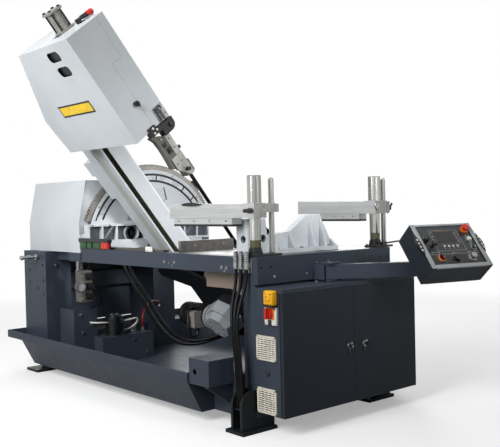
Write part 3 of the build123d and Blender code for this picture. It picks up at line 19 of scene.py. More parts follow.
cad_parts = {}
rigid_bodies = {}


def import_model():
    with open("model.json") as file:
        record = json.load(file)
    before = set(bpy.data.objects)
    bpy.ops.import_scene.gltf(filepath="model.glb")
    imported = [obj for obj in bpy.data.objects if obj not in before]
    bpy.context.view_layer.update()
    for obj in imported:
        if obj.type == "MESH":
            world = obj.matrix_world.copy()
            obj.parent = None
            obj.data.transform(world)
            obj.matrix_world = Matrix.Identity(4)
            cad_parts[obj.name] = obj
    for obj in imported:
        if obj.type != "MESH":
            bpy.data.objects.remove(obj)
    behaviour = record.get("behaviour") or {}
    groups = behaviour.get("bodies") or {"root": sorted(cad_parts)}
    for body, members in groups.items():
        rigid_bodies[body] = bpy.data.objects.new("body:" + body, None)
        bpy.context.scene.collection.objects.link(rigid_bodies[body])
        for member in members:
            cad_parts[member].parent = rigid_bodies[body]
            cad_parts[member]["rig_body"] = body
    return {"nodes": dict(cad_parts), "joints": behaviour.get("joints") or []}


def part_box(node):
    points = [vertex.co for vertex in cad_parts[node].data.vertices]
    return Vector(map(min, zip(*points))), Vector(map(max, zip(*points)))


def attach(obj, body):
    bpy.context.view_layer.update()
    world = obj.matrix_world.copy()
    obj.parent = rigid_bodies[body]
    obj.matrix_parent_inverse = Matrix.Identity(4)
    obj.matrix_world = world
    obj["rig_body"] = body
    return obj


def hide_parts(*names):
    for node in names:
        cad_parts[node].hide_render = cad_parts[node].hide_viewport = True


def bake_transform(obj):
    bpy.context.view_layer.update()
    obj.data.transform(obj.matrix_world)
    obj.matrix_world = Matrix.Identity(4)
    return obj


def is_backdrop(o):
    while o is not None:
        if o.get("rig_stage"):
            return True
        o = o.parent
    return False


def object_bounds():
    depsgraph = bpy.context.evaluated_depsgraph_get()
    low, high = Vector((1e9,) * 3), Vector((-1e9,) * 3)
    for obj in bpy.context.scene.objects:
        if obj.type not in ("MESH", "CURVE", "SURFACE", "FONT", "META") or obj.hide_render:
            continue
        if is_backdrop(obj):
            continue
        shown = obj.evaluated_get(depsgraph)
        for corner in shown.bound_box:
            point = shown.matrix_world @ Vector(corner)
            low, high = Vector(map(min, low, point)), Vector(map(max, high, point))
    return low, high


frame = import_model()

LOG = logging.getLogger("band_saw")
CAD_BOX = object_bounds()
Colour = tuple[float, float, float, float]
Point = Sequence[float]
Chooser = Callable[[Vector, Vector], int]
UP, FRONT, LEFT, RIGHT = (0, 0, 1), (0, -1, 0), (-1, 0, 0), (1, 0, 0)
# Edges that turn by more than these angles are broken on nodes, rounded on drawn solids, or shaded sharp.
SHARP_EDGE, ROUNDED_EDGE, SHADING_CREASE = math.radians(40), 0.5, math.radians(32)
# The part of its range that a noise mostly fills.
NOISE_RANGE = (0.3, 0.7)
# Turns of the boom, the console and the console's face at rest, in degrees.
BOOM_TURN, CONSOLE_TURN, FACE_SLOPE = -36, -16, 49
FACE_CORNER = (-0.142, -0.0495, 1.035)
# Lower ends of the hose couplers, in the machine frame.
COUPLERS = [(-0.020, 0.060 + 0.042 * k, 0.838) for k in range(3)]


def joint(name: str) -> dict[str, Any]:
    """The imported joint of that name."""
    return next(j for j in frame["joints"] if j["name"] == name)


def turn(degrees: float, axis: str) -> Matrix:
    """A turn about one of the main axes."""
    return Matrix.Rotation(math.radians(degrees), 4, axis)


BEAM_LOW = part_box("front_beam")[0]
MACHINE = Matrix.Translation((BEAM_LOW.x, BEAM_LOW.y, 0.0))
HEAD_UP = Vector(joint("blade_tension")["axis"])
TILT_AXIS = Vector(joint("head_tilt")["pos_m"])
HEAD = Matrix.Translation((TILT_AXIS.x, BEAM_LOW.y, TILT_AXIS.z)) @ Matrix.Rotation(
    math.atan2(HEAD_UP.x, HEAD_UP.z), 4, "Y")
BOOM_PIVOT = Vector(joint("boom_swing")["pos_m"])
BOOM = Matrix.Translation((BOOM_PIVOT.x, BOOM_PIVOT.y, 0.0)) @ turn(BOOM_TURN, "Z")
SWIVEL = Vector(joint("console_swivel")["pos_m"])
CONSOLE = Matrix.Translation((SWIVEL.x, SWIVEL.y, 0.0)) @ turn(CONSOLE_TURN, "Z")
FACE = CONSOLE @ Matrix.Translation(FACE_CORNER) @ turn(FACE_SLOPE, "X")


def tone(code: str, gain: float) -> Colour:
    """Turn a written colour such as #C8CCCF into scene light.

    Args:
        code: Six hex digits after a hash.
        gain: A factor on the light.

    Returns:
        Red, green, blue and alpha.
    """
    parts = [int(code[i:i + 2], 16) / 255 for i in (1, 3, 5)]
    light = [p / 12.92 if p <= 0.04045 else ((p + 0.055) / 1.055) ** 2.4 for p in parts]
    return (*[min(1.0, c * gain) for c in light], 1.0)


class Graph:
    """Adds and links the nodes of one material or world."""

    def __init__(self, owner: bpy.types.Material | bpy.types.World, shader: str = "Principled BSDF") -> None:
        """Start on the owner's shader, with object coordinates.

        Args:
            owner: The material or world whose nodes are laid.
            shader: The name of its shader node.
        """
        owner.use_nodes = True
        self.owner = owner
        self.tree = owner.node_tree
        self.shader = self.tree.nodes[shader]
        self.place = self.add("ShaderNodeTexCoord").outputs["Object"]

    def add(self, kind: str, **settings: Any) -> bpy.types.Node:
        """Add one node.

        Args:
            kind: The node's type.
            settings: Properties to set on it.

        Returns:
            The node.
        """
        made = self.tree.nodes.new(kind)
        for key, value in settings.items():
            setattr(made, key, value)
        return made

    def put(self, socket: bpy.types.NodeSocket, value: Any) -> None:
        """Link a socket to a value that comes from another node, or set it.

        Args:
            socket: The input.
            value: A socket of another node, or a plain value.
        """
        if isinstance(value, bpy.types.NodeSocket):
            self.tree.links.new(value, socket)
        else:
            socket.default_value = value

    def wire(self, name: str, value: Any) -> None:
        """Link or set the shader's input of that name."""
        self.put(self.shader.inputs[name], value)

    def noise(self, scale: float, detail: float, stretch: Point = (1, 1, 1)) -> bpy.types.NodeSocket:
        """A cloudy value from 0 to 1.

        Args:
            scale: Grains in a metre.
            detail: How many finer layers are added.
            stretch: Factors on the three axes, small along the grain.

        Returns:
            The value's socket.
        """
        mapping = self.add("ShaderNodeMapping")
        mapping.inputs["Scale"].default_value = stretch
        self.put(mapping.inputs["Vector"], self.place)
        cloud = self.add("ShaderNodeTexNoise")
        cloud.inputs["Scale"].default_value = scale
        cloud.inputs["Detail"].default_value = detail
        self.put(cloud.inputs["Vector"], mapping.outputs["Vector"])
        return cloud.outputs["Fac"]

    def span(self, value: Any, source: Point, target: Point) -> bpy.types.NodeSocket:
        """Map a value from one range to another, held at its ends.

        Args:
            value: The value.
            source: Ends of its range.
            target: Ends of the new range.

        Returns:
            The mapped value's socket.
        """
        node = self.add("ShaderNodeMapRange")
        for key, number in zip(("From Min", "From Max", "To Min", "To Max"), (*source, *target)):
            node.inputs[key].default_value = number
        self.put(node.inputs["Value"], value)
        return node.outputs["Result"]

    def maths(self, operation: str, first: Any, second: Any) -> bpy.types.NodeSocket:
        """One sum of two values.

        Args:
            operation: What is done with them.
            first: A value or socket.
            second: Another.

        Returns:
            The result's socket.
        """
        node = self.add("ShaderNodeMath", operation=operation)
        self.put(node.inputs[0], first)
        self.put(node.inputs[1], second)
        return node.outputs[0]

    def blend(self, first: Any, second: Any, share: float) -> bpy.types.NodeSocket:
        """A sum of two clouds, of which the first has that share."""
        parts = self.maths("MULTIPLY", first, share), self.maths("MULTIPLY", second, 1 - share)
        return self.maths("ADD", *parts)

    def mix(self, share: Any, first: Any, second: Any) -> bpy.types.NodeSocket:
        """Mix two colours.

        Args:
            share: The second colour's share.
            first: A colour or socket.
            second: Another.

        Returns:
            The mixed colour's socket.
        """
        node = self.add("ShaderNodeMix", data_type="RGBA")
        for number, value in ((0, share), (6, first), (7, second)):
            self.put(node.inputs[number], value)
        return node.outputs[2]

    def mottle(self, cloud: bpy.types.NodeSocket, source: Point, code: str,
               gains: Point) -> bpy.types.NodeSocket:
        """A written colour whose light goes from one gain to another over a part of a cloud's range."""
        return self.mix(self.span(cloud, source, (0, 1)), tone(code, gains[0]), tone(code, gains[1]))

    def rough(self, cloud: bpy.types.NodeSocket, low: float, high: float) -> None:
        """Let the shader's roughness vary with a cloud."""
        self.wire("Roughness", self.span(cloud, NOISE_RANGE, (low, high)))

    def edges(self, reach: float) -> bpy.types.NodeSocket:
        """A mask that is 1 along sharp edges.

        Args:
            reach: How far from an edge it fades out.

        Returns:
            The mask's socket.
        """
        rounded = self.add("ShaderNodeBevel", samples=4)
        rounded.inputs["Radius"].default_value = reach
        flat = self.add("ShaderNodeNewGeometry")
        dot = self.add("ShaderNodeVectorMath", operation="DOT_PRODUCT")
        self.put(dot.inputs[0], rounded.outputs["Normal"])
        self.put(dot.inputs[1], flat.outputs["True Normal"])
        return self.span(dot.outputs["Value"], (0.80, 0.985), (1.0, 0.0))

    def bump(self, height: bpy.types.NodeSocket, strength: float, depth: float) -> None:
        """Raise the surface by a height map.

        Args:
            height: The map.
            strength: How much of it shows.
            depth: Its full height in metres.
        """
        node = self.add("ShaderNodeBump")
        for key, value in (("Strength", strength), ("Distance", depth), ("Height", height)):
            self.put(node.inputs[key], value)
        self.wire("Normal", node.outputs["Normal"])


@dataclass(frozen=True)
class Finish:
    """What all finishes share: a name, a colour, the slot it stands for, which is not used, and a roughness.
    """

    name: str
    colour: str
    slot: str
    roughness: float = 0.40

    def material(self) -> bpy.types.Material:
        """Build the finish.

        Returns:
            The material.
        """
        g = Graph(bpy.data.materials.new(self.name))
        self.lay(g)
        return g.owner

    def lay(self, g: Graph) -> None:
        """Lay the finish's nodes in a graph."""
        raise NotImplementedError


@dataclass(frozen=True)
class PowderCoat(Finish):
    """Baked paint with orange peel, faint mottling and edges made paler, partly as rubbed wear and partly as
    a painted highlight.
    """

    peel: float = 0.10
    wear_and_highlight: float = 0.30
    gloss: float = 0.5
    bright: float = 1.7
    wear_and_highlight_reach: float = 0.0035
    peel_depth: float = 0.0008

    def lay(self, g: Graph) -> None:
        """Lay the paint.

        Args:
            g: The material's graph.
        """
        g.wire("Specular IOR Level", self.gloss)
        base = g.mottle(g.noise(2.2, 5.0), (0.35, 0.65), self.colour, (0.93, 1.06))
        scuffs = g.span(g.noise(38.0, 6.0), (0.50, 0.72), (0.25, 1.0))
        # Edges turn paler: rubbed wear, and on the doors a painted highlight.
        worn_and_lit = g.maths("MULTIPLY", g.maths("MULTIPLY", g.edges(self.wear_and_highlight_reach), scuffs), self.wear_and_highlight)
        g.wire("Base Color", g.mix(worn_and_lit, base, tone(self.colour, self.bright)))
        g.rough(g.noise(14.0, 4.0), self.roughness - 0.05, self.roughness + 0.07)
        g.bump(g.noise(420.0, 2.0), self.peel, self.peel_depth)


@dataclass(frozen=True)
class BareMetal(Finish):
    """Machined or drawn metal with streaks along its grain."""

    roughness: float = 0.24
    grain: tuple[float, float, float] = (1.0, 1.0, 0.02)
    depth: float = 0.16
    streak: float = 0.28
    streak_depth: float = 0.0004

    def lay(self, g: Graph) -> None:
        """Lay the metal.

        Args:
            g: The material's graph.
        """
        lines = g.noise(260.0, 3.0, self.grain)
        share = g.blend(lines, g.noise(30.0, 4.0, self.grain), 0.5)
        gains = 1 - self.streak, 1 + self.streak * 0.6
        g.wire("Base Color", g.mottle(share, (0.36, 0.64), self.colour, gains))
        g.wire("Metallic", 1.0)
        g.rough(lines, self.roughness * 0.8, self.roughness * 1.35)
        g.bump(lines, self.depth, self.streak_depth)


@dataclass(frozen=True)
class Casting(Finish):
    """Painted or raw sand casting with a pebbled skin."""

    roughness: float = 0.5
    metallic: float = 0.0
    grit: float = 0.35
    speckle: float = 0.12
    gloss: float = 0.35
    wear_and_highlight: float = 0.35
    bright: float = 1.5
    wear_and_highlight_reach: float = 0.003
    grit_depth: float = 0.001

    def lay(self, g: Graph) -> None:
        """Lay the casting's skin.

        Args:
            g: The material's graph.
        """
        g.wire("Specular IOR Level", self.gloss)
        pebbles = g.noise(190.0, 5.0)
        patches = g.noise(9.0, 5.0)
        gains = 1 - self.speckle, 1 + self.speckle
        base = g.mottle(g.blend(pebbles, patches, 0.55), (0.36, 0.64), self.colour, gains)
        # Edges turn paler, as rubbed wear and as a painted highlight.
        worn_and_lit = g.maths("MULTIPLY", g.edges(self.wear_and_highlight_reach), self.wear_and_highlight)
        g.wire("Base Color", g.mix(worn_and_lit, base, tone(self.colour, self.bright)))
        g.wire("Metallic", self.metallic)
        g.rough(patches, self.roughness - 0.08, self.roughness + 0.08)
        g.bump(pebbles, self.grit, self.grit_depth)


@dataclass(frozen=True)
class Moulding(Finish):
    """Moulded plastic or rubber with a fine spark-eroded grain."""

    roughness: float = 0.38
    grain: float = 0.08
    scale: float = 900.0
    gloss: float = 0.4
    grain_depth: float = 0.0005

    def lay(self, g: Graph) -> None:
        """Lay the plastic.

        Args:
            g: The material's graph.
        """
        g.wire("Specular IOR Level", self.gloss)
        g.wire("Base Color", g.mottle(g.noise(24.0, 4.0), (0.35, 0.65), self.colour, (0.90, 1.08)))
        g.rough(g.noise(60.0, 3.0), self.roughness - 0.05, self.roughness + 0.06)
        g.bump(g.noise(self.scale, 2.0), self.grain, self.grain_depth)


class Coat(Enum):
    """The saw's finishes."""

    SLATE = PowderCoat("slate_powder_coat", "#3B424D", "slate_paint", 0.36, 0.10, 0.30, 0.11)
    # A darker copy of the slate paint: painted shade on the cabinet doors and the console, with its paler
    # edges a painted highlight.
    SHADED_SLATE = PowderCoat("slate_painted_shade", "#2B3038", "slate_paint", 0.38, 0.10, 0.60, 0.10, 2.2)
    FOOT = PowderCoat("dark_slate_paint", "#1E2125", "slate_paint", 0.34, 0.10, 0.30, 0.14)
    # Dark grey painted shade for the insides of holes and of the cabinet.
    SHADE = Moulding("painted_shade_inner", "#303234", "black_plastic", 0.60, gloss=0.1)
    # Olive grey painted shade for the walls of the strand slot.
    SLOT_SHADE = PowderCoat("slot_painted_shade", "#7E7C6C", "slate_paint", 0.55, gloss=0.15)
    SEAM = Moulding("seam_rubber", "#787E83", "black_plastic", 0.55, gloss=0.1)
    RECESS_SHADE = Casting("shaded_casting_floor", "#4C5259", "grey_casting", 0.55)
    # Near-white paint for a painted highlight along the column's edge.
    EDGE_HIGHLIGHT = PowderCoat("painted_edge_highlight", "#E2E6EA", "grey_paint", 0.40, gloss=0.25)
    TAN = PowderCoat("tan_panel_paint", "#7D7165", "slate_paint", 0.45, gloss=0.2)
    GREY = PowderCoat("pale_grey_paint", "#C3C8CC", "grey_paint", 0.42, 0.07, 0.15, 0.25)
    # Greenish grey painted shade for the floor of the column's groove.
    GROOVE_SHADE = PowderCoat("groove_painted_shade", "#AEB2AC", "grey_paint", 0.45, gloss=0.2)
    CONE = PowderCoat("gearbox_pale_paint", "#A4A9AD", "grey_paint", 0.42, gloss=0.25)
    TERMINAL = PowderCoat("terminal_box_paint", "#8F8A87", "grey_paint", 0.45, gloss=0.2)
    GREY_CAST = Casting("grey_painted_casting", "#C3C8CD", "grey_casting", 0.45)
    BLACK_CAST = Casting("black_casting", "#151516", "black_casting", 0.45, 0.0, 0.5)
    IRON = Casting("dark_iron_casting", "#5E5C57", "black_casting", 0.50, 0.25, 0.5, 0.30)
    CYLINDER = Casting("speckled_cylinder_grey", "#8B8A84", "black_casting", 0.50, 0.10, 0.5, 0.30)
    OLIVE = Casting("olive_collar", "#4A4833", "bright_steel", 0.45, 0.2)
    TEETH = Casting("cut_gear_steel", "#8E8B85", "ground_steel", 0.45, 0.35, 0.45, 0.35)
    CHROME = BareMetal("polished_tube_steel", "#A3A3A0", "bright_steel", 0.22, (1.0, 1.0, 0.01), 0.16, 0.62)
    ZINC = BareMetal("zinc_plated_steel", "#9C9E9E", "bright_steel", 0.30, (1, 1, 1), 0.10, 0.35)
    GROUND = BareMetal("ground_table_steel", "#7E7C78", "ground_steel", 0.33, (1.0, 0.03, 1.0))
    RAIL = BareMetal("ground_rail_steel", "#69665F", "ground_steel", 0.30, (1.0, 0.02, 1.0))
    BAND = Casting("polished_sector_band", "#BFC4CA", "ground_steel", 0.30, 0.3, 0.10, 0.10)
    BLADE = BareMetal("saw_band_steel", "#4A4B4C", "ground_steel", 0.30, (1.0, 1.0, 0.02))
    SATIN = BareMetal("satin_aluminium", "#BDBFBF", "white_metal", 0.45, (1.0, 0.03, 1.0), 0.08, 0.10)
    GUIDE = BareMetal("milled_guide_steel", "#8C8C88", "white_metal", 0.40, (1.0, 1.0, 0.03), 0.10, 0.30)
    SILVER = Moulding("silver_console_frame", "#A0A3A4", "white_metal", 0.40)
    DIAL = Moulding("grey_gauge_face", "#9A9EA3", "white_metal", 0.30)
    BLACK = Moulding("black_plastic", "#111213", "black_plastic", 0.36)
    PANEL = Moulding("console_face_film", "#2A2D31", "black_plastic", 0.34, 0.04)
    STRIP = Moulding("console_face_dark_film", "#121315", "black_plastic", 0.34, 0.04)
    BEIGE = Moulding("beige_plastic", "#DAD5C6", "beige_plastic", 0.45)
    WHITE = Moulding("white_plastic", "#DEDCD6", "beige_plastic", 0.40)
    PLATE = Moulding("yellow_plate_enamel", "#EBC526", "red_plastic", 0.34)
    YELLOW = Moulding("yellow_plastic", "#F0B012", "red_plastic", 0.38)
    ORANGE = Moulding("orange_plastic", "#E2741A", "red_plastic", 0.38)
    RED = Moulding("red_plastic", "#C2251A", "red_plastic", 0.34)
    GREEN = Moulding("green_plastic", "#1F4A26", "red_plastic", 0.45)
    COPPER = BareMetal("bronze_bush", "#80663F", "ground_steel", 0.35, (1, 1, 1), 0.10, 0.35)
    HOSE = Moulding("hose_rubber", "#080809", "hose_rubber", 0.34, 0.02, 1500.0, 0.14)
    RED_HOSE = Moulding("red_hose_rubber", "#7C1518", "red_plastic", 0.34, 0.05, 420.0, 0.30)

    @cache
    def material(self) -> bpy.types.Material:
        """The finish's material, built once."""
        return self.value.material()


def show(name: str, mesh: bmesh.types.BMesh, body: str, coats: Sequence[Coat],
         replaces: Iterable[str] = ()) -> None:
    """Make a piece of a finished mesh and let it ride on a body.

    Args:
        name: The piece's name.
        mesh: The mesh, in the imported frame. It is freed.
        body: The body that carries the piece.
        coats: The finishes that the faces' material numbers mean.
        replaces: The nodes that the piece stands for.
    """
    data = bpy.data.meshes.new(name)
    mesh.to_mesh(data)
    mesh.free()
    for coat in coats:
        data.materials.append(coat.material())
    data.shade_smooth()
    data.set_sharp_from_angle(angle=SHADING_CREASE)
    piece = bpy.data.objects.new(name, data)
    bpy.context.scene.collection.objects.link(piece)
    even = piece.modifiers.new("even_shading", "WEIGHTED_NORMAL")
    even.weight = 100
    even.keep_sharp = True
    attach(piece, body)
    if replaces:
        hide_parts(*replaces)
    LOG.info("%s: %d faces on %s", name, len(data.polygons), body)


def node_body(node: str) -> str:
    """The body that carries a node."""
    return frame["nodes"][node]["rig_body"]


def softened(node: str, coats: Sequence[Coat], rounding: float, choose: Chooser | None = None,
             place: Matrix = MACHINE, cuts: Sequence[tuple[Point, Point]] = ()) -> None:
    """Stand for a node with a copy whose sharp edges are broken.

    Args:
        node: The node to copy.
        coats: The finishes used on it.
        rounding: Width of the broken edge in metres.
        choose: Picks the finish's number for a face by its centre and normal.
        place: The local frame in which centres, normals and cuts are given.
        cuts: Points and normals of planes along which faces are parted.
    """
    mesh = bmesh.new()
    mesh.from_mesh(frame["nodes"][node].data)
    bmesh.ops.remove_doubles(mesh, verts=mesh.verts, dist=2e-5)
    bmesh.ops.dissolve_limit(mesh, angle_limit=math.radians(1.0), verts=mesh.verts, edges=mesh.edges)
    for point, normal in cuts:
        bmesh.ops.bisect_plane(mesh, geom=[*mesh.verts, *mesh.edges, *mesh.faces], dist=1e-6,
                               plane_co=place @ Vector(point), plane_no=place.to_3x3() @ Vector(normal))
    mesh.normal_update()
    back = place.inverted()
    aim = back.to_3x3()
    for face in mesh.faces:
        face.material_index = choose(back @ face.calc_center_bounds(), aim @ face.normal) if choose else 0
    edges = [e for e in mesh.edges if len(e.link_faces) == 2 and e.calc_face_angle(0.0) > SHARP_EDGE]
    bmesh.ops.bevel(mesh, geom=edges, offset=rounding, segments=2, profile=0.5, affect="EDGES",
                    material=-1, clamp_overlap=True)
    show(node + "_finished", mesh, node_body(node), coats, [node])


def plain(coat: Coat, rounding: float, *nodes: str) -> None:
    """Stand for nodes that wear one coat, with their sharp edges broken."""
    for node in nodes:
        softened(node, [coat], rounding)


def tube(name: str, route: Sequence[Point], radius: float, detail: int) -> bpy.types.Mesh:
    """A smooth line on a route, as a mesh.

    Args:
        name: The mesh's name.
        route: Control points.
        radius: Radius of the tube, or 0 for the bare line.
        detail: Steps between two control points.

    Returns:
        The mesh.
    """
    curve = bpy.data.curves.new(name, "CURVE")
    curve.dimensions = "3D"
    curve.resolution_u = detail
    curve.bevel_depth = radius
    curve.bevel_resolution = 4
    curve.use_fill_caps = radius > 0
    spline = curve.splines.new("NURBS")
    spline.points.add(len(route) - 1)
    for point, spot in zip(spline.points, route):
        point.co = (*spot, 1.0)
    spline.order_u = 3
    spline.use_endpoint_u = True
    made = bpy.data.objects.new(name, curve)
    bpy.context.scene.collection.objects.link(made)
    data = bpy.data.meshes.new_from_object(made)
    bpy.data.objects.remove(made)
    data.name = name
    return data


class Shape:
    """A piece's mesh, drawn in a local frame and put in place when it is done."""

    def __init__(self, place: Matrix = MACHINE) -> None:
        """Start an empty mesh.

        Args:
            place: The local frame in which it is drawn.
        """
        self.mesh = bmesh.new()
        self.place = place
        self.coat = 0

    def _dress(self, verts: Sequence[bmesh.types.BMVert], rounding: float, steps: int) -> None:
        """Give a new solid the current coat and round its sharp edges.

        Args:
            verts: The solid's corners.
            rounding: Width of the rounded edges.
            steps: Segments across a rounded edge.
        """
        faces = {f for v in verts for f in v.link_faces}
        for face in faces:
            face.material_index = self.coat
        bmesh.ops.recalc_face_normals(self.mesh, faces=list(faces))
        if rounding > 0:
            found = {e for v in verts for e in v.link_edges}
            edges = [e for e in found if len(e.link_faces) == 2 and e.calc_face_angle(0.0) > ROUNDED_EDGE]
            bmesh.ops.bevel(self.mesh, geom=edges, offset=rounding, segments=steps, profile=0.5,
                            affect="EDGES", material=-1, clamp_overlap=True)

    def wear(self, number: int) -> "Shape":
        """Give the solids that follow this number among the piece's coats."""
        self.coat = number
        return self

    def block(self, low: Point, high: Point, rounding: float = 0.001, steps: int = 2,
              twist: Matrix | None = None) -> None:
        """Add a box between two corners.

        Args:
            low: The lowest corner.
            high: The highest corner.
            rounding: Width of the rounded edges.
            steps: Segments across a rounded edge.
            twist: A turn of the box about its own middle.
        """
        size = Vector(high) - Vector(low)
        middle = Matrix.Translation((Vector(high) + Vector(low)) / 2)
        matrix = middle @ (twist or Matrix.Identity(4)) @ Matrix.Diagonal((*size, 1.0))
        made = bmesh.ops.create_cube(self.mesh, size=1.0, matrix=matrix)
        self._dress(made["verts"], rounding, steps)

    def rod(self, start: Point, end: Point, radius: float, tip: float | None = None, sides: int = 32,
            rounding: float = 0.0) -> None:
        """Add a round or many-sided bar between two points.

        Args:
            start: Middle of the first end.
            end: Middle of the other end.
            radius: Radius at the first end.
            tip: Radius at the other end, if it differs.
            sides: Number of sides.
            rounding: Width of the rounded end edges.
        """
        line = Vector(end) - Vector(start)
        matrix = line.to_track_quat("Z", "Y").to_matrix().to_4x4()
        matrix.translation = (Vector(start) + Vector(end)) / 2
        made = bmesh.ops.create_cone(self.mesh, cap_ends=True, cap_tris=False, segments=sides, radius1=radius,
                                     radius2=radius if tip is None else tip, depth=line.length, matrix=matrix)
        self._dress(made["verts"], rounding, 2)

    def turned(self, profile: Sequence[Point], base: Point, axis: Point, sides: int) -> None:
        """Add a turned solid.

        Args:
            profile: Radius and height pairs from one end of the axis to the other.
            base: Where height 0 lies.
            axis: The way that height grows.
            sides: Steps round the axis.
        """
        stand = Vector(axis).to_track_quat("Z", "Y").to_matrix().to_4x4()
        stand.translation = Vector(base)
        start = set(self.mesh.verts)
        verts = [self.mesh.verts.new(stand @ Vector((r, 0, h))) for r, h in profile]
        edges = [self.mesh.edges.new(pair) for pair in zip(verts, verts[1:])]
        bmesh.ops.spin(self.mesh, geom=verts + edges, cent=base, axis=stand.to_3x3() @ Vector(UP),
                       angle=math.tau, steps=sides, use_merge=True)
        made = [v for v in self.mesh.verts if v not in start]
        bmesh.ops.remove_doubles(self.mesh, verts=made, dist=1e-6)
        self._dress([v for v in self.mesh.verts if v not in start], 0.0, 1)

    def plate(self, outline: Sequence[Point], thick: float, plane: Matrix, rounding: float = 0.0) -> None:
        """Add a flat outline thickened along its plane's normal.

        Args:
            outline: Points in the plane.
            thick: Thickness.
            plane: Where the plane lies in the local frame.
            rounding: Width of the rounded edges.
        """
        verts = [self.mesh.verts.new(plane @ Vector((u, v, 0))) for u, v in outline]
        face = self.mesh.faces.new(verts)
        made = bmesh.ops.extrude_face_region(self.mesh, geom=[face])
        raised = [g for g in made["geom"] if isinstance(g, bmesh.types.BMVert)]
        bmesh.ops.translate(self.mesh, verts=raised, vec=plane.to_3x3() @ Vector((0, 0, thick)))
        self._dress(verts + raised, rounding, 2)

    def pipe(self, route: Sequence[Point], radius: float) -> None:
        """Add a bent round bar that follows a smooth line.

        Args:
            route: The line's control points.
            radius: Radius of the bar.
        """
        before = set(self.mesh.faces)
        data = tube("bent_bar", route, radius, 10)
        self.mesh.from_mesh(data)
        bpy.data.meshes.remove(data)
        for face in set(self.mesh.faces) - before:
            face.material_index = self.coat

    def bolts(self, places: Iterable[Point], axis: Point, size: float) -> None:
        """Add washers with chamfered hexagon heads.

        Args:
            places: Where the washers sit.
            axis: The way out of the surface.
            size: Radius of a head's corners.
        """
        out = Vector(axis).normalized()
        for base in map(Vector, places):
            self.rod(base, base + out * size * 0.22, size * 1.30, sides=24)
            self.rod(base + out * size * 0.2, base + out * size * 0.95, size, sides=6, rounding=size * 0.1)

    def screws(self, places: Iterable[Point], axis: Point, size: float) -> None:
        """Add cap screws with a hollow in their heads.

        Args:
            places: Where the heads sit.
            axis: The way out of the surface.
            size: Radius of a head.
        """
        profile = [(0.0, 0.0), (size, 0.0), (size, size * 0.85), (size * 0.92, size), (size * 0.55, size),
                   (size * 0.5, size * 0.45), (0.0, size * 0.4)]
        for place in places:
            self.turned(profile, place, axis, 24)

    def finish(self, name: str, body: str, coats: Sequence[Coat], replaces: Iterable[str] = ()) -> None:
        """Put the mesh in place and show it as a piece."""
        bmesh.ops.transform(self.mesh, matrix=self.place, verts=self.mesh.verts)
        show(name, self.mesh, body, coats, replaces)


def ellipse(width: float, height: float, count: int, centre: Point) -> list[Point]:
    """Points round an ellipse of that full width and height."""
    steps = [math.tau * k / count for k in range(count)]
    return [(centre[0] + width / 2 * math.cos(a), centre[1] + height / 2 * math.sin(a)) for a in steps]


def circle(centre: Point, reach: float, count: int, across: int, phase: float = 0.0) -> list[Vector]:
    """Points round a centre, in the plane across one axis.

    Args:
        centre: The centre.
        reach: The circle's radius.
        count: Number of points.
        across: Number of the axis that the plane lies across.
        phase: Angle of the first point.

    Returns:
        The points.
    """
    points = []
    for k in range(count):
        angle = math.tau * k / count + phase
        step = [reach * math.cos(angle), reach * math.sin(angle)]
        step.insert(across, 0.0)
        points.append(Vector(centre) + Vector(step))
    return points


def ring_profile(inner: float, outer: float, tall: float, edge: float = 0.0, slope: float = 0.0,
                 low: float = 0.0) -> list[Point]:
    """The closed profile of a turned ring.

    Args:
        inner: Inner radius.
        outer: Outer radius at the foot.
        tall: Height at the bore.
        edge: How far the outer edge draws in towards the top.
        slope: How far the top falls off outwards.
        low: Height of the foot.

    Returns:
        Radius and height pairs.
    """
    return [(inner, low), (outer, low), (outer - edge, low + tall - slope), (inner, low + tall), (inner, low)]


def cap_profile(radius: float, tall: float, edge: float, slope: float) -> list[Point]:
    """The profile of a turned disc whose top edge is cut off by edge across and slope down."""
    return [(0.0, 0.0), (radius, 0.0), (radius, tall - slope), (radius - edge, tall), (0.0, tall)]


def upright(y: float) -> Matrix:
    """A plane of points across and up at that depth, thickened towards the back."""
    return Matrix(((1, 0, 0, 0), (0, 0, 1, y), (0, 1, 0, 0), (0, 0, 0, 1)))


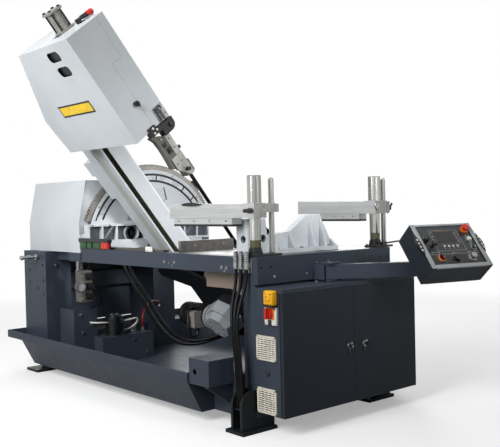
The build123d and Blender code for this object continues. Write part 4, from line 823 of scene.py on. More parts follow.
@dataclass
class StandingFrame:
    """The welded base with its table, feet and fasteners."""

    table: float = 0.900
    wall: float = 0.0018
    width: float = 1.060
    cover_seam: float = 0.8695
    feet_x: tuple[float, float] = (-0.045, 0.918)
    feet_y: tuple[float, float] = (0.069, 2.361)

    def build(self) -> None:
        """Dress the frame's nodes and add its fasteners."""
        plain(Coat.SLATE, 0.003, "front_beam")
        plain(Coat.SLATE, self.wall, "front_leg_frame")
        softened("side_beams", [Coat.SLATE, Coat.RAIL, Coat.TAN], self.wall, self.side_coat)
        plain(Coat.SLATE, 0.0012, "rear_frame", "chip_tray", "junction_box")
        plain(Coat.FOOT, 0.002, "base_feet")
        plain(Coat.GROUND, self.wall, "table_plates", "fixed_jaws")
        softened("rear_cover", [Coat.GREY, Coat.SLATE], 0.0015, lambda p, n: int(p.z < self.cover_seam),
                 cuts=[((0, 0, self.cover_seam), UP)])
        self.hardware()
        self.bolts()
        self.stops()

    def side_coat(self, place: Vector, normal: Vector) -> int:
        """Bare rails on top, a tan box under the table, slate elsewhere."""
        tan = place.z < 0.834 and 0.085 < place.x < 0.295 and place.y < 0.545
        return 1 if place.z > self.table + 0.001 else 2 * tan

    def hardware(self) -> None:
        """Make the jacks, the long bolts, the pipe fitting and the hose couplers."""
        shape = Shape()
        for y in self.feet_y:
            for x in self.feet_x:
                shape.rod((x, y, 0.0), (x, y, 0.058), 0.010, sides=20, rounding=0.001)
                shape.rod((x, y, 0.018), (x, y, 0.021), 0.020, sides=24)
                shape.rod((x, y, 0.021), (x, y, 0.034), 0.017, sides=6, rounding=0.0012)
        for y, drop in ((0.817, 0.053), (0.717, 0.053), (0.285, 0.064), (0.243, 0.064)):
            shape.bolts([(0.0, y, self.table - drop)], LEFT, 0.0085)
            shape.bolts([(self.width, y, self.table - drop)], RIGHT, 0.0085)
        shape.bolts([(0.117 + k * 0.239, 0.0, 0.794) for k in range(4)], FRONT, 0.006)
        fitting = [(0.0, 0.0), (0.020, 0.0), (0.020, 0.026), (0.011, 0.028), (0.011, 0.062), (0.017, 0.063),
                   (0.017, 0.087), (0.011, 0.088), (0.011, 0.118), (0.016, 0.119), (0.016, 0.140),
                   (0.0, 0.140)]
        shape.turned(fitting, (-0.060, 2.325, 0.828), LEFT, 24)
        shape.block((-0.006, 0.034, 0.816), (0.0, 0.176, 0.892))
        for place in COUPLERS:
            self.coupler(shape, *place)
        shape.finish("frame_hardware", "base", [Coat.ZINC, Coat.BLACK], ["base_hardware"])

    def coupler(self, shape: Shape, x: float, y: float, low: float) -> None:
        """Add one ribbed hose coupler with the block that holds it.

        Args:
            shape: The shape that gets it.
            x: Where it stands across the frame.
            y: Where it stands along the frame.
            low: Height of its lower end.
        """
        shape.block((-0.030, y - 0.012, 0.846), (-0.006, y + 0.012, 0.870))
        shape.wear(1).rod((x, y, low), (x, y, 0.929), 0.0100, sides=24)
        shape.wear(0)
        for step in range(7):
            rib = 0.850 + step * 0.0105
            shape.rod((x, y, rib), (x, y, rib + 0.0068), 0.0138, sides=24, rounding=0.001)
        shape.rod((x, y, low), (x, y, 0.848), 0.0125, sides=6, rounding=0.001)
        shape.rod((x, y, 0.925), (x, y, 0.930), 0.0120, sides=24)

    def bolts(self) -> None:
        """Put the smaller bolts on the frame, and low screws on the fixed jaws and the table."""
        shape = Shape()
        shape.bolts([(0.020, 2.220, 0.768), (0.116, 2.220, 0.829)], FRONT, 0.010)
        shape.bolts([(0.395, -0.034, 0.745), (0.540, -0.036, 0.745), (0.700, -0.040, 0.745)], UP, 0.007)
        side = ((1.870, 0.862), (0.775, 0.842), (0.742, 0.826), (0.262, 0.818))
        shape.bolts([(0.0, y, z) for y, z in side], LEFT, 0.0055)
        flat = [(0.0, 0.0), (0.008, 0.0), (0.008, 0.0011), (0.0075, 0.0015), (0.0046, 0.0015),
                (0.0044, 0.0006), (0.0, 0.0006)]
        for x in (0.20, 0.42, 0.74, 0.90):
            shape.turned(flat, (x, 0.784, 0.935), FRONT, 24)
        sunk = [(0.0, 0.0), (0.009, 0.0), (0.009, 0.0012), (0.006, 0.0015), (0.0, 0.0008)]
        for y in (0.14, 0.44, 0.74):
            for x in (0.82, 0.95):
                shape.turned(sunk, (x, y, self.table - 0.0008), UP, 20)
        shape.finish("frame_bolts", "base", [Coat.ZINC])

    def stops(self) -> None:
        """Put limit switches and a wiper block beside the left rail, and the lip on the rear cover."""
        strip = Shape()
        strip.block((0.002, 1.430, 0.900), (0.008, 1.806, 0.948))
        strip.block((-0.020, 1.428, 0.945), (0.014, 1.806, 0.970), 0.002)
        strip.wear(1)
        for y0, y1 in ((1.534, 1.622), (1.642, 1.700), (1.716, 1.790)):
            strip.block((-0.016, y0, 0.906), (0.003, y1, 0.943), 0.003)
        strip.wear(2).block((-0.018, 1.440, 0.905), (0.003, 1.520, 0.950), 0.004)
        strip.wear(3).block((0.010, 0.965, 0.900), (0.019, 1.039, 0.930), 0.002)
        screws = [(-0.0165, y, 0.924) for y in (1.460, 1.500, 1.556, 1.600, 1.670, 1.750)]
        strip.wear(4).screws(screws, LEFT, 0.004)
        strip.finish("limit_switches", "base", [Coat.BLACK, Coat.GREEN, Coat.RED, Coat.WHITE, Coat.ZINC])
        lip = Shape()
        lip.plate([(0.0005, 0.880), (0.0005, 1.080), (0.0585, 1.3605), (0.190, 1.3605), (0.150, 1.100),
                   (0.120, 0.880)], 0.002, upright(1.8225))
        lip.finish("rear_cover_lip", "base", [Coat.GREY])


@dataclass
class ControlCabinet:
    """The cabinet under the table with its doors, vents and main switch."""

    switch: tuple[float, float] = (-0.106, 0.624)
    door_y: float = -0.183
    vent_rim: float = 0.010
    vent_rows: int = 10
    vent_fields: int = 5

    def build(self) -> None:
        """Dress the cabinet's nodes and fit it out."""
        plain(Coat.SLATE, 0.0012, "control_cabinet")
        plain(Coat.SHADED_SLATE, 0.003, "cabinet_door_left", "cabinet_door_right")
        softened("door_lock", [Coat.ZINC, Coat.BLACK], 0.0008, lambda p, n: int(p.y < self.door_y - 0.0075))
        self.vents()
        self.switchboard()
        self.outlet()
        plain(Coat.RED, 0.003, "switch_handle")
        self.locks()
        self.inside()

    def vents(self) -> None:
        """Make the two louvred vents and the blind plug between them."""
        shape = Shape()
        self.vent(shape, (-0.134, 0.379), (0.146, 0.126))
        self.vent(shape, (-0.130, 0.108), (0.143, 0.130))
        plug = [(0.0, 0.0), (0.014, 0.0), (0.014, 0.005), (0.011, 0.008), (0.005, 0.0075), (0.0, 0.006)]
        shape.wear(1).turned(plug, (0.0, -0.066, 0.3130), LEFT, 28)
        shape.finish("cabinet_vents", "base", [Coat.BEIGE, Coat.BLACK], ["cabinet_fittings"])

    def vent(self, shape: Shape, corner: tuple[float, float], size: tuple[float, float]) -> None:
        """Add one vent: a black backing as painted shade, a rim, slats and thin uprights.

        Args:
            shape: The shape that gets it.
            corner: Its lower front corner, along the frame and in height.
            size: Its width and height.
        """
        (y0, z0), (width, height), rim = corner, size, self.vent_rim
        y1, z1 = y0 + width, z0 + height
        # A black sheet behind the slats is painted shade.
        shape.wear(1).block((-0.005, y0 + 0.004, z0 + 0.004), (0.0, y1 - 0.004, z1 - 0.004), 0.0)
        shape.wear(0)
        for low, high in (((y0, z0), (y1, z0 + rim)), ((y0, z1 - rim), (y1, z1)),
                          ((y0, z0), (y0 + rim, z1)), ((y1 - rim, z0), (y1, z1))):
            shape.block((-0.009, *low), (0.0, *high), 0.0015)
        pitch = (height - 2 * rim) / self.vent_rows
        for k in range(self.vent_rows):
            z = z0 + rim + pitch * (k + 0.5)
            shape.block((-0.0098, y0 + 0.008, z - pitch * 0.29), (-0.0030, y1 - 0.008, z + pitch * 0.29),
                        0.0008, twist=turn(24, "Y"))
        for k in range(1, self.vent_fields):
            y = y0 + width * k / self.vent_fields
            shape.block((-0.0088, y - 0.0016, z0 + 0.008), (-0.004, y + 0.0016, z1 - 0.008), 0.0)

    def switchboard(self) -> None:
        """Make the main switch plate with its screws."""
        y, z = self.switch
        shape = Shape()
        shape.block((-0.014, -0.149, 0.564), (0.0, -0.062, 0.655), 0.003)
        shape.wear(1).block((-0.018, y - 0.030, z - 0.030), (-0.0135, y + 0.030, z + 0.030), 0.002)
        shape.wear(2).block((-0.021, y - 0.010, 0.566), (-0.0135, y + 0.012, 0.590), 0.002)
        corners = [(-0.0138, a, b) for b in (0.571, 0.648) for a in (-0.142, -0.069)]
        shape.wear(3).screws(corners, LEFT, 0.0035)
        shape.finish("main_switch_plate", "base", [Coat.WHITE, Coat.ORANGE, Coat.BLACK, Coat.ZINC],
                     ["cabinet_fittings"])

    def outlet(self) -> None:
        """Make the outlet with its yellow cap, a black strip down its right side as painted shadow, a black
        hinge strip under it, moulded marks and pins.
        """
        cap = Shape()
        cap.block((-0.044, -0.150, 0.664), (0.0, -0.084, 0.741), 0.012, 4)
        cap.turned(cap_profile(0.022, 0.005, 0.004, 0.002), (-0.0435, -0.120, 0.708), LEFT, 32)
        # The black strip down the cap's right side is a painted shadow.
        cap.wear(1).block((-0.040, -0.088, 0.662), (-0.002, -0.078, 0.728), 0.003)
        cap.block((-0.043, -0.147, 0.658), (-0.002, -0.086, 0.666), 0.002)
        for x, y, z in ((-0.0452, -0.140, 0.724), (-0.0452, -0.127, 0.690), (-0.0452, -0.106, 0.690),
                        (-0.0452, -0.100, 0.728), (-0.0495, -0.116, 0.712)):
            cap.block((x, y - 0.004, z - 0.0022), (-0.0425, y + 0.004, z + 0.0022), 0.0006)
        for k in range(4):
            y = -0.140 + 0.016 * k
            cap.rod((-0.0445, y, 0.670), (-0.040, y, 0.670), 0.005, sides=16)
        cap.finish("outlet_with_cap", "base", [Coat.YELLOW, Coat.BLACK], ["cabinet_fittings"])

    def locks(self) -> None:
        """Put a rosette, a pin and a hanging key on each door, and a wing on the left lock."""
        face = self.door_y
        rosette = ring_profile(0.010, 0.017, 0.005, 0.001, 0.001)
        for side, x in (("left", 0.484), ("right", 0.605)):
            shape = Shape()
            shape.turned(rosette, (x, face - 0.0005, 0.404), FRONT, 28)
            if side == "left":
                shape.block((x - 0.003, face - 0.026, 0.396), (x + 0.003, face - 0.006, 0.412), 0.001)
            shape.rod((x + 0.010, face - 0.001, 0.419), (x + 0.010, face - 0.009, 0.419), 0.006, sides=20)
            shape.wear(1).block((x - 0.011, face - 0.0055, 0.366), (x + 0.004, face - 0.001, 0.389), 0.0015)
            shape.block((x - 0.006, face - 0.0045, 0.352), (x - 0.002, face - 0.002, 0.368), 0.0006)
            shape.finish("door_lock_trim_" + side, "cabinet_door_" + side, [Coat.ZINC, Coat.BLACK])

    def inside(self) -> None:
        """Fit the mounting plate, wire ducts, breakers, terminals and drives inside."""
        back = 0.007
        shape = Shape()
        shape.block((0.060, 0.006, 0.150), (0.990, 0.012, 0.700), 0.001)
        # The wire ducts wear the dark painted-shade coat.
        shape.wear(1)
        for z in (0.675, 0.520, 0.360, 0.175):
            shape.block((0.080, -0.040, z - 0.018), (0.970, back, z + 0.018), 0.001)
        shape.wear(2)
        for k in range(12):
            shape.block((0.110 + k * 0.020, -0.062, 0.560), (0.1285 + k * 0.020, back, 0.640), 0.0012)
        for k in range(16):
            shape.block((0.560 + k * 0.012, -0.045, 0.400), (0.571 + k * 0.012, back, 0.460), 0.0008)
        shape.wear(3)
        for x0, x1, z0, z1 in ((0.420, 0.500, 0.552, 0.648), (0.540, 0.620, 0.552, 0.648),
                               (0.690, 0.910, 0.220, 0.335), (0.120, 0.300, 0.215, 0.335),
                               (0.350, 0.520, 0.225, 0.330)):
            shape.block((x0, -0.095, z0), (x1, back, z1), 0.004)
        shape.wear(4)
        for k in range(12):
            shape.block((0.115 + k * 0.020, -0.070, 0.594), (0.1235 + k * 0.020, -0.060, 0.610), 0.001)
        shape.finish("switchgear", "base", [Coat.ZINC, Coat.SHADE, Coat.BEIGE, Coat.BLACK, Coat.ORANGE])


@dataclass
class Hydraulics:
    """Power unit, valves and feed cylinder."""

    pump: tuple[float, float] = (0.325, 1.942)

    def build(self) -> None:
        """Dress the hydraulic nodes and pipe them up."""
        softened("hydraulic_unit", [Coat.SLATE, Coat.BLACK, Coat.ZINC], 0.002, self.unit_coat)
        softened("hydraulic_valves", [Coat.IRON, Coat.BLACK, Coat.DIAL], 0.001, self.valve_coat)
        plain(Coat.SLATE, 0.001, "feed_cylinder")
        plain(Coat.CHROME, 0.0006, "feed_rod")
        self.pump_trim()
        self.pipes()

    def unit_coat(self, place: Vector, normal: Vector) -> int:
        """Black for the pump, bright for the filler, slate for the tank."""
        tank = place.z < 0.2555 or place.x < 0.22
        return 0 if tank else 1 if place.x < 0.40 else 2

    def valve_coat(self, place: Vector, normal: Vector) -> int:
        """Black coils, a grey gauge face and iron blocks."""
        gauge = place.x < 0.06 and normal.y < -0.9 and place.y < 1.88
        return 1 if place.x > 0.077 and place.y < 1.8995 else 2 * gauge

    def pump_trim(self) -> None:
        """Put fins, a terminal box and tie bolts on the pump, and plugs and bolts on tank and valves."""
        x, y = self.pump
        shape = Shape()
        for k in range(10):
            shape.turned(ring_profile(0.050, 0.0635, 0.006, low=0.262 + k * 0.0135), (x, y, 0.0), UP, 36)
        shape.block((x - 0.030, y - 0.082, 0.285), (x + 0.030, y - 0.050, 0.350), 0.004)
        ties = ((-0.028, 0.0), (0.028, 0.0), (0.0, 0.028), (0.0, -0.028))
        shape.wear(1).bolts([(x + a, y + b, 0.404) for a, b in ties], UP, 0.006)
        shape.bolts([(0.082, 1.990, 0.420), (0.097, 1.990, 0.290), (0.170, 1.990, 0.345),
                     (0.450, 1.880, 0.215), (0.560, 1.880, 0.110)], FRONT, 0.010)
        filler = [(0.0, 0.0), (0.036, 0.0), (0.036, 0.008), (0.030, 0.012), (0.030, 0.018), (0.0, 0.020)]
        shape.turned(filler, (0.520, 2.020, 0.2915), UP, 32)
        shape.bolts([(0.055, 1.900, z) for z in (0.545, 0.600, 0.700)], FRONT, 0.007)
        for k in range(5):
            shape.rod((0.040, 1.925, 0.745 + 0.012 * k), (0.040, 1.925, 0.753 + 0.012 * k), 0.016, sides=20)
        shape.turned(ring_profile(0.030, 0.0385, 0.005, slope=0.001), (0.020, 1.8605, 0.631), FRONT, 40)
        shape.finish("pump_trim", "base", [Coat.BLACK, Coat.ZINC])

    def pipes(self) -> None:
        """Bend the white pump pipes, the valve leads and the red hose."""
        shape = Shape()
        shape.pipe([(0.380, 1.930, 0.352), (0.440, 1.915, 0.355), (0.505, 1.915, 0.366),
                    (0.515, 1.930, 0.330), (0.470, 1.930, 0.296), (0.400, 1.925, 0.284),
                    (0.378, 1.930, 0.284)], 0.007)
        shape.pipe([(0.268, 1.930, 0.350), (0.230, 1.915, 0.356), (0.170, 1.940, 0.358),
                    (0.160, 1.992, 0.358)], 0.006)
        shape.wear(1)
        for k, z in enumerate((0.560, 0.630, 0.700)):
            shape.pipe([(0.100, 1.857, z), (0.105, 1.825, z - 0.010), (0.135 + 0.010 * k, 1.822, z - 0.050),
                        (0.160 + 0.012 * k, 1.850, 0.520), (0.200, 1.930, 0.480),
                        (0.190, 2.050, 0.459)], 0.0035)
        shape.pipe([(0.060, 1.945, 0.739), (0.030, 1.935, 0.775), (0.040, 1.930, 0.808)], 0.008)
        shape.pipe([(0.120, 1.945, 0.739), (0.150, 1.930, 0.770), (0.130, 1.925, 0.830)], 0.008)
        shape.wear(2).pipe([(0.590, 1.980, 0.254), (0.590, 1.980, 0.400), (0.690, 2.040, 0.450),
                            (0.800, 2.120, 0.445), (0.885, 2.170, 0.420), (0.890, 2.220, 0.390)], 0.009)
        shape.wear(3).rod((0.890, 2.221, 0.390), (0.890, 2.200, 0.398), 0.014, sides=6, rounding=0.001)
        shape.rod((0.590, 1.980, 0.254), (0.590, 1.980, 0.280), 0.014, sides=6, rounding=0.001)
        shape.finish("power_unit_pipes", "base", [Coat.WHITE, Coat.HOSE, Coat.RED_HOSE, Coat.ZINC])


@dataclass
class WorkHolding:
    """Clamp posts, arms and vise."""

    posts: tuple[float, float] = (0.050, 1.005)
    rods: tuple[float, float] = (0.168, 1.085)
    line: float = 0.066
    foot_top: float = 0.912
    neck_top: float = 0.985
    pad_top: float = 1.068
    arm_ends: tuple[tuple[float, float], tuple[float, float]] = ((0.212, 0.737), (0.160, 0.486))

    def build(self) -> None:
        """Dress the clamps and the vise."""
        softened("clamp_posts", [Coat.CHROME, Coat.BLACK_CAST], 0.0012, self.post_coat)
        for side in ("left", "right"):
            softened("clamp_arm_" + side, [Coat.SATIN, Coat.BLACK, Coat.CHROME, Coat.GUIDE], 0.0015,
                     self.arm_coat, cuts=[((0, 0, self.pad_top), UP), ((0, 0, 1.101), UP)])
            plain(Coat.BLACK, 0.002, "clamp_lever_" + side)
        plain(Coat.GREY_CAST, 0.004, "vise_jaw")
        self.post_trim()
        for i, side in enumerate(("left", "right")):
            self.arm_trim(i, side)
        self.vise_trim()

    def post_coat(self, place: Vector, normal: Vector) -> int:
        """Black for the foot and neck of the thick tube, bright for the rest."""
        thin = place.x > 1.06 or 0.12 < place.x < 0.4
        return int(place.z < (0.913 if thin else self.neck_top))

    def arm_coat(self, place: Vector, normal: Vector) -> int:
        """A black pad, a bright sleeve round the post, a front in darker milled steel as painted shade, and a
        satin arm.

        Args:
            place: A face's centre in the machine frame.
            normal: The face's normal.

        Returns:
            The number of the face's coat.
        """
        if place.z < self.pad_top:
            return 1
        aside = math.hypot(place.x - self.posts[place.x > 0.5], place.y - self.line)
        if place.z > 1.19 and aside < 0.06:
            return 2
        # Faces turned to the front get the darker steel as painted shade.
        return 3 if normal.y < -0.8 and place.y < 0.1 else 0

    def post_trim(self) -> None:
        """Put ribbed collars on the necks, caps on the rods, screws on the feet and a pin at the right."""
        shape = Shape()
        low = self.foot_top
        for x, reach in zip(self.posts, (0.090, 0.050)):
            ribs = [(0.025, low), (0.040, low)]
            for k in range(5):
                z, crest, root = 0.916 + k * 0.0064, 0.040 - 0.0016 * k, 0.0335 - 0.001 * k
                ribs += [(crest, z), (crest, z + 0.0034), (root, z + 0.0042), (root, z + 0.0060)]
            ribs += [(0.027, 0.949), (0.025, 0.949), (0.025, low)]
            shape.turned(ribs, (x, self.line, 0.0), UP, 40)
            shape.wear(1).turned(ring_profile(0.025, 0.0295, 0.0365, low=0.948), (x, self.line, 0.0), UP, 36)
            corners = ((-0.034, -0.036), (-0.034, 0.036), (reach, -0.036), (0.040, 0.036))
            shape.wear(0).screws([(x + a, self.line + b, low) for a, b in corners], UP, 0.0065)
        shape.rod((1.040, 0.028, 0.922), (1.165, 0.018, 0.930), 0.005, sides=16)
        shape.block((1.020, 0.020, 0.9115), (1.060, 0.044, 0.932), 0.002)
        shape.wear(2)
        tip = [(0.0, 1.3015), (0.0148, 1.3015), (0.0105, 1.310), (0.004, 1.313), (0.0, 1.313)]
        for x in self.rods:
            shape.turned(tip, (x, self.line, 0.0), UP, 32)
        shape.finish("post_trim", "base", [Coat.BLACK, Coat.OLIVE, Coat.CHROME])

    def arm_trim(self, i: int, side: str) -> None:
        """Put sleeve caps, a split line, pads and screws on one arm, and a grip or a boss.

        Args:
            i: The arm's number, 0 at the left.
            side: The arm's side in words.
        """
        x, rod_x, (near, far) = self.posts[i], self.rods[i], self.arm_ends[i]
        axis, rod_axis = (x, self.line, 0.0), (rod_x, self.line, 0.0)
        shape = Shape()
        shape.turned([(0.0312, 1.317), (0.0372, 1.317), (0.0376, 1.320), (0.036, 1.3225), (0.0312, 1.3225),
                      (0.0312, 1.317)], axis, UP, 40)
        shape.turned(ring_profile(0.037, 0.0395, 0.005, slope=0.001, low=1.177), axis, UP, 40)
        inward = -0.028 if i else 0.028
        shape.screws([(x + inward, 0.0225, z) for z in (1.122, 1.160)], FRONT, 0.005)
        shape.turned(ring_profile(0.0152, 0.022, 0.0055, low=1.1725), rod_axis, UP, 32)
        split = 1.108 if i else 1.131
        shape.wear(1).block((rod_x - 0.0006, 0.0372, split), (rod_x + 0.0006, 0.0382, 1.172), 0.0)
        if i:
            shape.wear(0).turned(cap_profile(0.021, 0.006, 0.003, 0.002), (0.972, 0.0222, 1.148), FRONT, 36)
        else:
            outward = Matrix(((0, 0, -1, 0.0122), (1, 0, 0, 0), (0, 1, 0, 0), (0, 0, 0, 1)))
            shape.plate(ellipse(0.176, 0.021, 40, (0.556, 1.1785)), 0.012, outward, 0.003)
        shape.wear(1).block((x - 0.0352, near - 0.001, 1.056), (x + 0.0352, far + 0.001, 1.0675), 0.002)
        rows = [near + 0.05 + k * (far - near - 0.1) / 3 for k in range(4)]
        shape.wear(0).screws([(x - 0.034, y, 1.086) for y in rows], LEFT, 0.0045)
        shape.finish("clamp_trim_" + side, "clamp_arm_" + side, [Coat.ZINC, Coat.BLACK])

    def vise_trim(self) -> None:
        """Put black screws and black rings in the vise's counterbores, the rings as painted shade, bright
        faces on the jaw and bolts on its foot.
        """
        shape = Shape()
        shape.wear(1).screws([(0.118, 0.221, 0.984)], LEFT, 0.012)
        shape.screws([(0.212, 0.204, 0.986)], FRONT, 0.012)
        # Black rings round the screws paint the shade in the counterbores.
        bore_shade_ring = ring_profile(0.015, 0.020, 0.001, edge=0.0005)
        shape.turned(bore_shade_ring, (0.0998, 0.221, 0.984), LEFT, 32)
        shape.turned(bore_shade_ring, (0.212, 0.1858, 0.986), FRONT, 32)
        shape.wear(0).block((0.104, 0.2775, 0.904), (0.228, 0.2805, 1.090), 0.001)
        shape.block((0.240, 0.2775, 0.904), (0.338, 0.2805, 0.998), 0.001)
        shape.bolts([(x, 0.158, 0.922) for x in (0.300, 0.480, 0.700)], UP, 0.010)
        shape.finish("vise_trim", "vise_jaw", [Coat.ZINC, Coat.BLACK])


@dataclass
class Console:
    """The swinging control console on its boom."""

    width: float = 0.400
    height: float = 0.293
    bar: float = 0.030
    face: float = 0.003
    strip_top: float = -0.2035
    dial_reach: float = 0.0285
    dials: tuple[tuple[float, float], ...] = ((0.098, -0.225), (0.195, -0.231), (0.297, -0.231))

    def build(self) -> None:
        """Dress the boom and the console."""
        plain(Coat.SLATE, 0.0012, "boom_bracket")
        plain(Coat.SLATE, 0.004, "boom_arm")
        softened("console_case", [Coat.SHADED_SLATE, Coat.SILVER], 0.002, self.front_coat, place=FACE)
        softened("console_cheeks", [Coat.SHADED_SLATE, Coat.SILVER], 0.0025, self.front_coat, place=FACE)
        softened("console_panel", [Coat.PANEL, Coat.STRIP], 0.0006, lambda p, n: int(p.y < self.strip_top),
                 place=FACE, cuts=[((0, self.strip_top, 0), (0, 1, 0))])
        softened("console_lamps", [Coat.WHITE, Coat.ORANGE, Coat.ZINC, Coat.BLACK], 0.0012, self.lamp_coat,
                 place=FACE)
        plain(Coat.RED, 0.004, "estop_button")
        plain(Coat.WHITE, 0.0015, "start_button")
        softened("mode_selector", [Coat.BLACK, Coat.ORANGE], 0.0015, lambda p, n: int(p.z < 0.0095),
                 place=FACE)
        plain(Coat.BLACK, 0.0015, "speed_dial")
        plain(Coat.BLACK, 0.001, "joystick")
        self.frame_trim()
        self.legends()
        self.control_trim()
        self.pointers()
        self.mounting()

    def front_coat(self, place: Vector, normal: Vector) -> int:
        """A silver front on a dark case."""
        return int(normal.z > 0.6 and place.z > -0.02)

    def lamp_coat(self, place: Vector, normal: Vector) -> int:
        """White lamps, an orange collar, a bright knob and black caps."""
        collar, cap = place.x > 0.30 and place.y > -0.08, place.x < 0.08 or place.x > 0.32
        return 1 if collar else 2 if place.y < -0.20 else 3 * cap

    def frame_trim(self) -> None:
        """Put the top and bottom bars, the grips with white ovals and the corner screws on the frame."""
        left, right = self.bar - 0.002, self.width - self.bar + 0.002
        bars = Shape(FACE)
        bars.block((left, -0.011, -0.001), (right, 0.001, 0.0095), 0.0025)
        bars.block((left, -self.height - 0.0005, -0.001), (right, -self.height + 0.0235, 0.0095), 0.003)
        arc = [(math.sin(math.pi * k / 20), -0.073 - 0.132 * k / 20) for k in range(21)]
        for edge, out in ((0.0, -1), (self.width, 1)):
            outer = [(edge + out * 0.017 * s, v) for s, v in arc]
            inner = [(edge - out * 0.012 * s, v) for s, v in reversed(arc[1:-1])]
            bars.wear(1).plate(outer + inner, 0.014, Matrix.Translation((0, 0, -0.0015)), 0.001)
            bars.wear(2)
            for k in range(4):
                oval = ellipse(0.010, 0.0135, 20, (edge + out * 0.004, -0.105 - 0.0225 * k))
                bars.plate(oval, 0.0012, Matrix.Translation((0, 0, 0.0121)))
        rows = (-0.014, -self.height + 0.016)
        corners = [(u, v, 0.0092) for u in (0.014, self.width - 0.014) for v in rows]
        bars.wear(3).screws(corners, UP, 0.0035)
        bars.finish("console_frame_trim", "console", [Coat.SILVER, Coat.BLACK, Coat.WHITE, Coat.ZINC])

    def legends(self) -> None:
        """Print plain scales, ticks and boxes on the face, with no letters."""
        ink = Shape(FACE)
        low, high = self.face - 0.0002, self.face + 0.0003

        def mark(u: float, v: float, width: float, tall: float, twist: Matrix | None = None) -> None:
            """One printed bar about a middle."""
            a, b = width / 2, tall / 2
            ink.block((u - a, v - b, low), (u + a, v + b, high), 0.0, twist=twist)

        for u, v in self.dials:
            for k in range(13):
                angle = math.radians(225 - 270 * k / 12)
                across, up = self.dial_reach * math.cos(angle), self.dial_reach * math.sin(angle)
                mark(u + across, v + up, 0.005, 0.0012, Matrix.Rotation(angle, 4, "Z"))
            mark(u, v + 0.0395, 0.022, 0.0016)
        for k in range(7):
            mark(0.268, -0.055 - 0.0125 * k, 0.010 if k % 2 else 0.006, 0.0022)
            mark(0.281, -0.055 - 0.0125 * k, 0.004, 0.0016)
        for k in range(4):
            mark(0.117, -0.052 - 0.026 * k, 0.007, 0.0022)
            mark(0.155 + 0.029 * k, -0.1635, 0.012, 0.0013)
            mark(0.155 + 0.029 * k, -0.138, 0.008, 0.0013)
        for u0, u1, v in ((0.104, 0.290, -0.040), (0.104, 0.290, -0.1775), (0.040, 0.360, -0.2005)):
            mark((u0 + u1) / 2, v, u1 - u0, 0.0007)
        for u, v0, v1 in ((0.104, -0.040, -0.1775), (0.290, -0.040, -0.1775)):
            mark(u, (v0 + v1) / 2, 0.0007, v0 - v1)
        for u, v in ((0.338, -0.0845), (0.338, -0.135), (0.342, -0.187), (0.060, -0.187), (0.060, -0.082)):
            mark(u, v, 0.020, 0.0014)
        ink.wear(1).block((0.128, -0.128, low - 0.0005), (0.252, -0.050, self.face + 0.0001), 0.0)
        ink.wear(2)
        for k in range(6):
            mark(0.150 + 0.016 * k, -0.047, 0.008, 0.0018)
        ink.finish("console_legends", "console", [Coat.WHITE, Coat.STRIP, Coat.ORANGE])

    def control_trim(self) -> None:
        """Ring the buttons, knobs and joystick, and put tops on the rotary knob and the black cap."""
        trim = Shape(FACE)
        top = self.face - 0.0002
        for coat, u, v, inner, outer in ((0, 0.338, -0.110, 0.0135, 0.0185),
                                         (0, 0.342, -0.164, 0.0132, 0.0180),
                                         (2, 0.098, -0.225, 0.0152, 0.0215)):
            trim.wear(coat).turned(ring_profile(inner, outer, 0.005, 0.001, 0.0005), (u, v, top), UP, 36)
        knob = [(0.0, 0.0), (0.0145, 0.0), (0.0130, 0.003), (0.0, 0.0035)]
        trim.wear(0).turned(knob, (0.297, -0.231, 0.0288), UP, 36)
        trim.turned(ring_profile(0.0172, 0.0225, 0.004, 0.001, 0.001), (0.297, -0.231, top), UP, 40)
        trim.wear(1).plate([(0.0, 0.0), (0.0095, -0.0055), (0.0110, 0.0), (0.0095, 0.0055)], 0.0008,
                           Matrix.Translation((0.342, -0.164, 0.0148)))
        dome = [(0.0, 0.0), (0.011, 0.0), (0.015, 0.004), (0.0155, 0.010), (0.012, 0.015), (0.0, 0.017)]
        trim.wear(3).turned(dome, (0.048, -0.110, 0.0265), UP, 32)
        trim.turned(ring_profile(0.010, 0.021, 0.0045, 0.002, 0.0005), (0.072, -0.150, top), UP, 36)
        trim.finish("console_control_trim", "console", [Coat.ZINC, Coat.WHITE, Coat.ORANGE, Coat.BLACK])

    def pointers(self) -> None:
        """Put a dome on the emergency stop and pointers on the dial and the selector."""
        dome = Shape(FACE)
        dome.turned([(0.0, 0.0), (0.0205, 0.0), (0.0215, 0.004), (0.0205, 0.009), (0.016, 0.0125),
                     (0.008, 0.0145), (0.0, 0.015)], (0.342, -0.044, 0.0255), UP, 44)
        dome.finish("estop_dome", "estop_button", [Coat.RED])
        dial = Shape(FACE)
        dial.block((0.1940, -0.2165, 0.0195), (0.1960, -0.2085, 0.0215), 0.0003)
        dial.finish("dial_pointer", "speed_dial", [Coat.WHITE])
        pointer = Shape(FACE)
        pointer.block((0.0965, -0.214, 0.0236), (0.0995, -0.2085, 0.0246), 0.0003)
        pointer.wear(1).block((0.0935, -0.239, 0.0232), (0.1025, -0.226, 0.0248), 0.0008)
        pointer.finish("selector_pointer", "mode_selector", [Coat.WHITE, Coat.RED])

    def mounting(self) -> None:
        """Put caps under the boom's two pins and screws on its bracket."""
        shape = Shape(BOOM)
        for x in (0.0, 0.530):
            shape.turned(cap_profile(0.020, 0.006, 0.003, 0.002), (x, 0.0, 0.757), (0, 0, -1), 28)
        shape.finish("boom_trim", "boom_arm", [Coat.ZINC])
        plate = Shape()
        plate.bolts([(x, -0.010, 0.8485) for x in (0.425, 0.515)], FRONT, 0.006)
        plate.finish("boom_bracket_screws", "base", [Coat.ZINC])


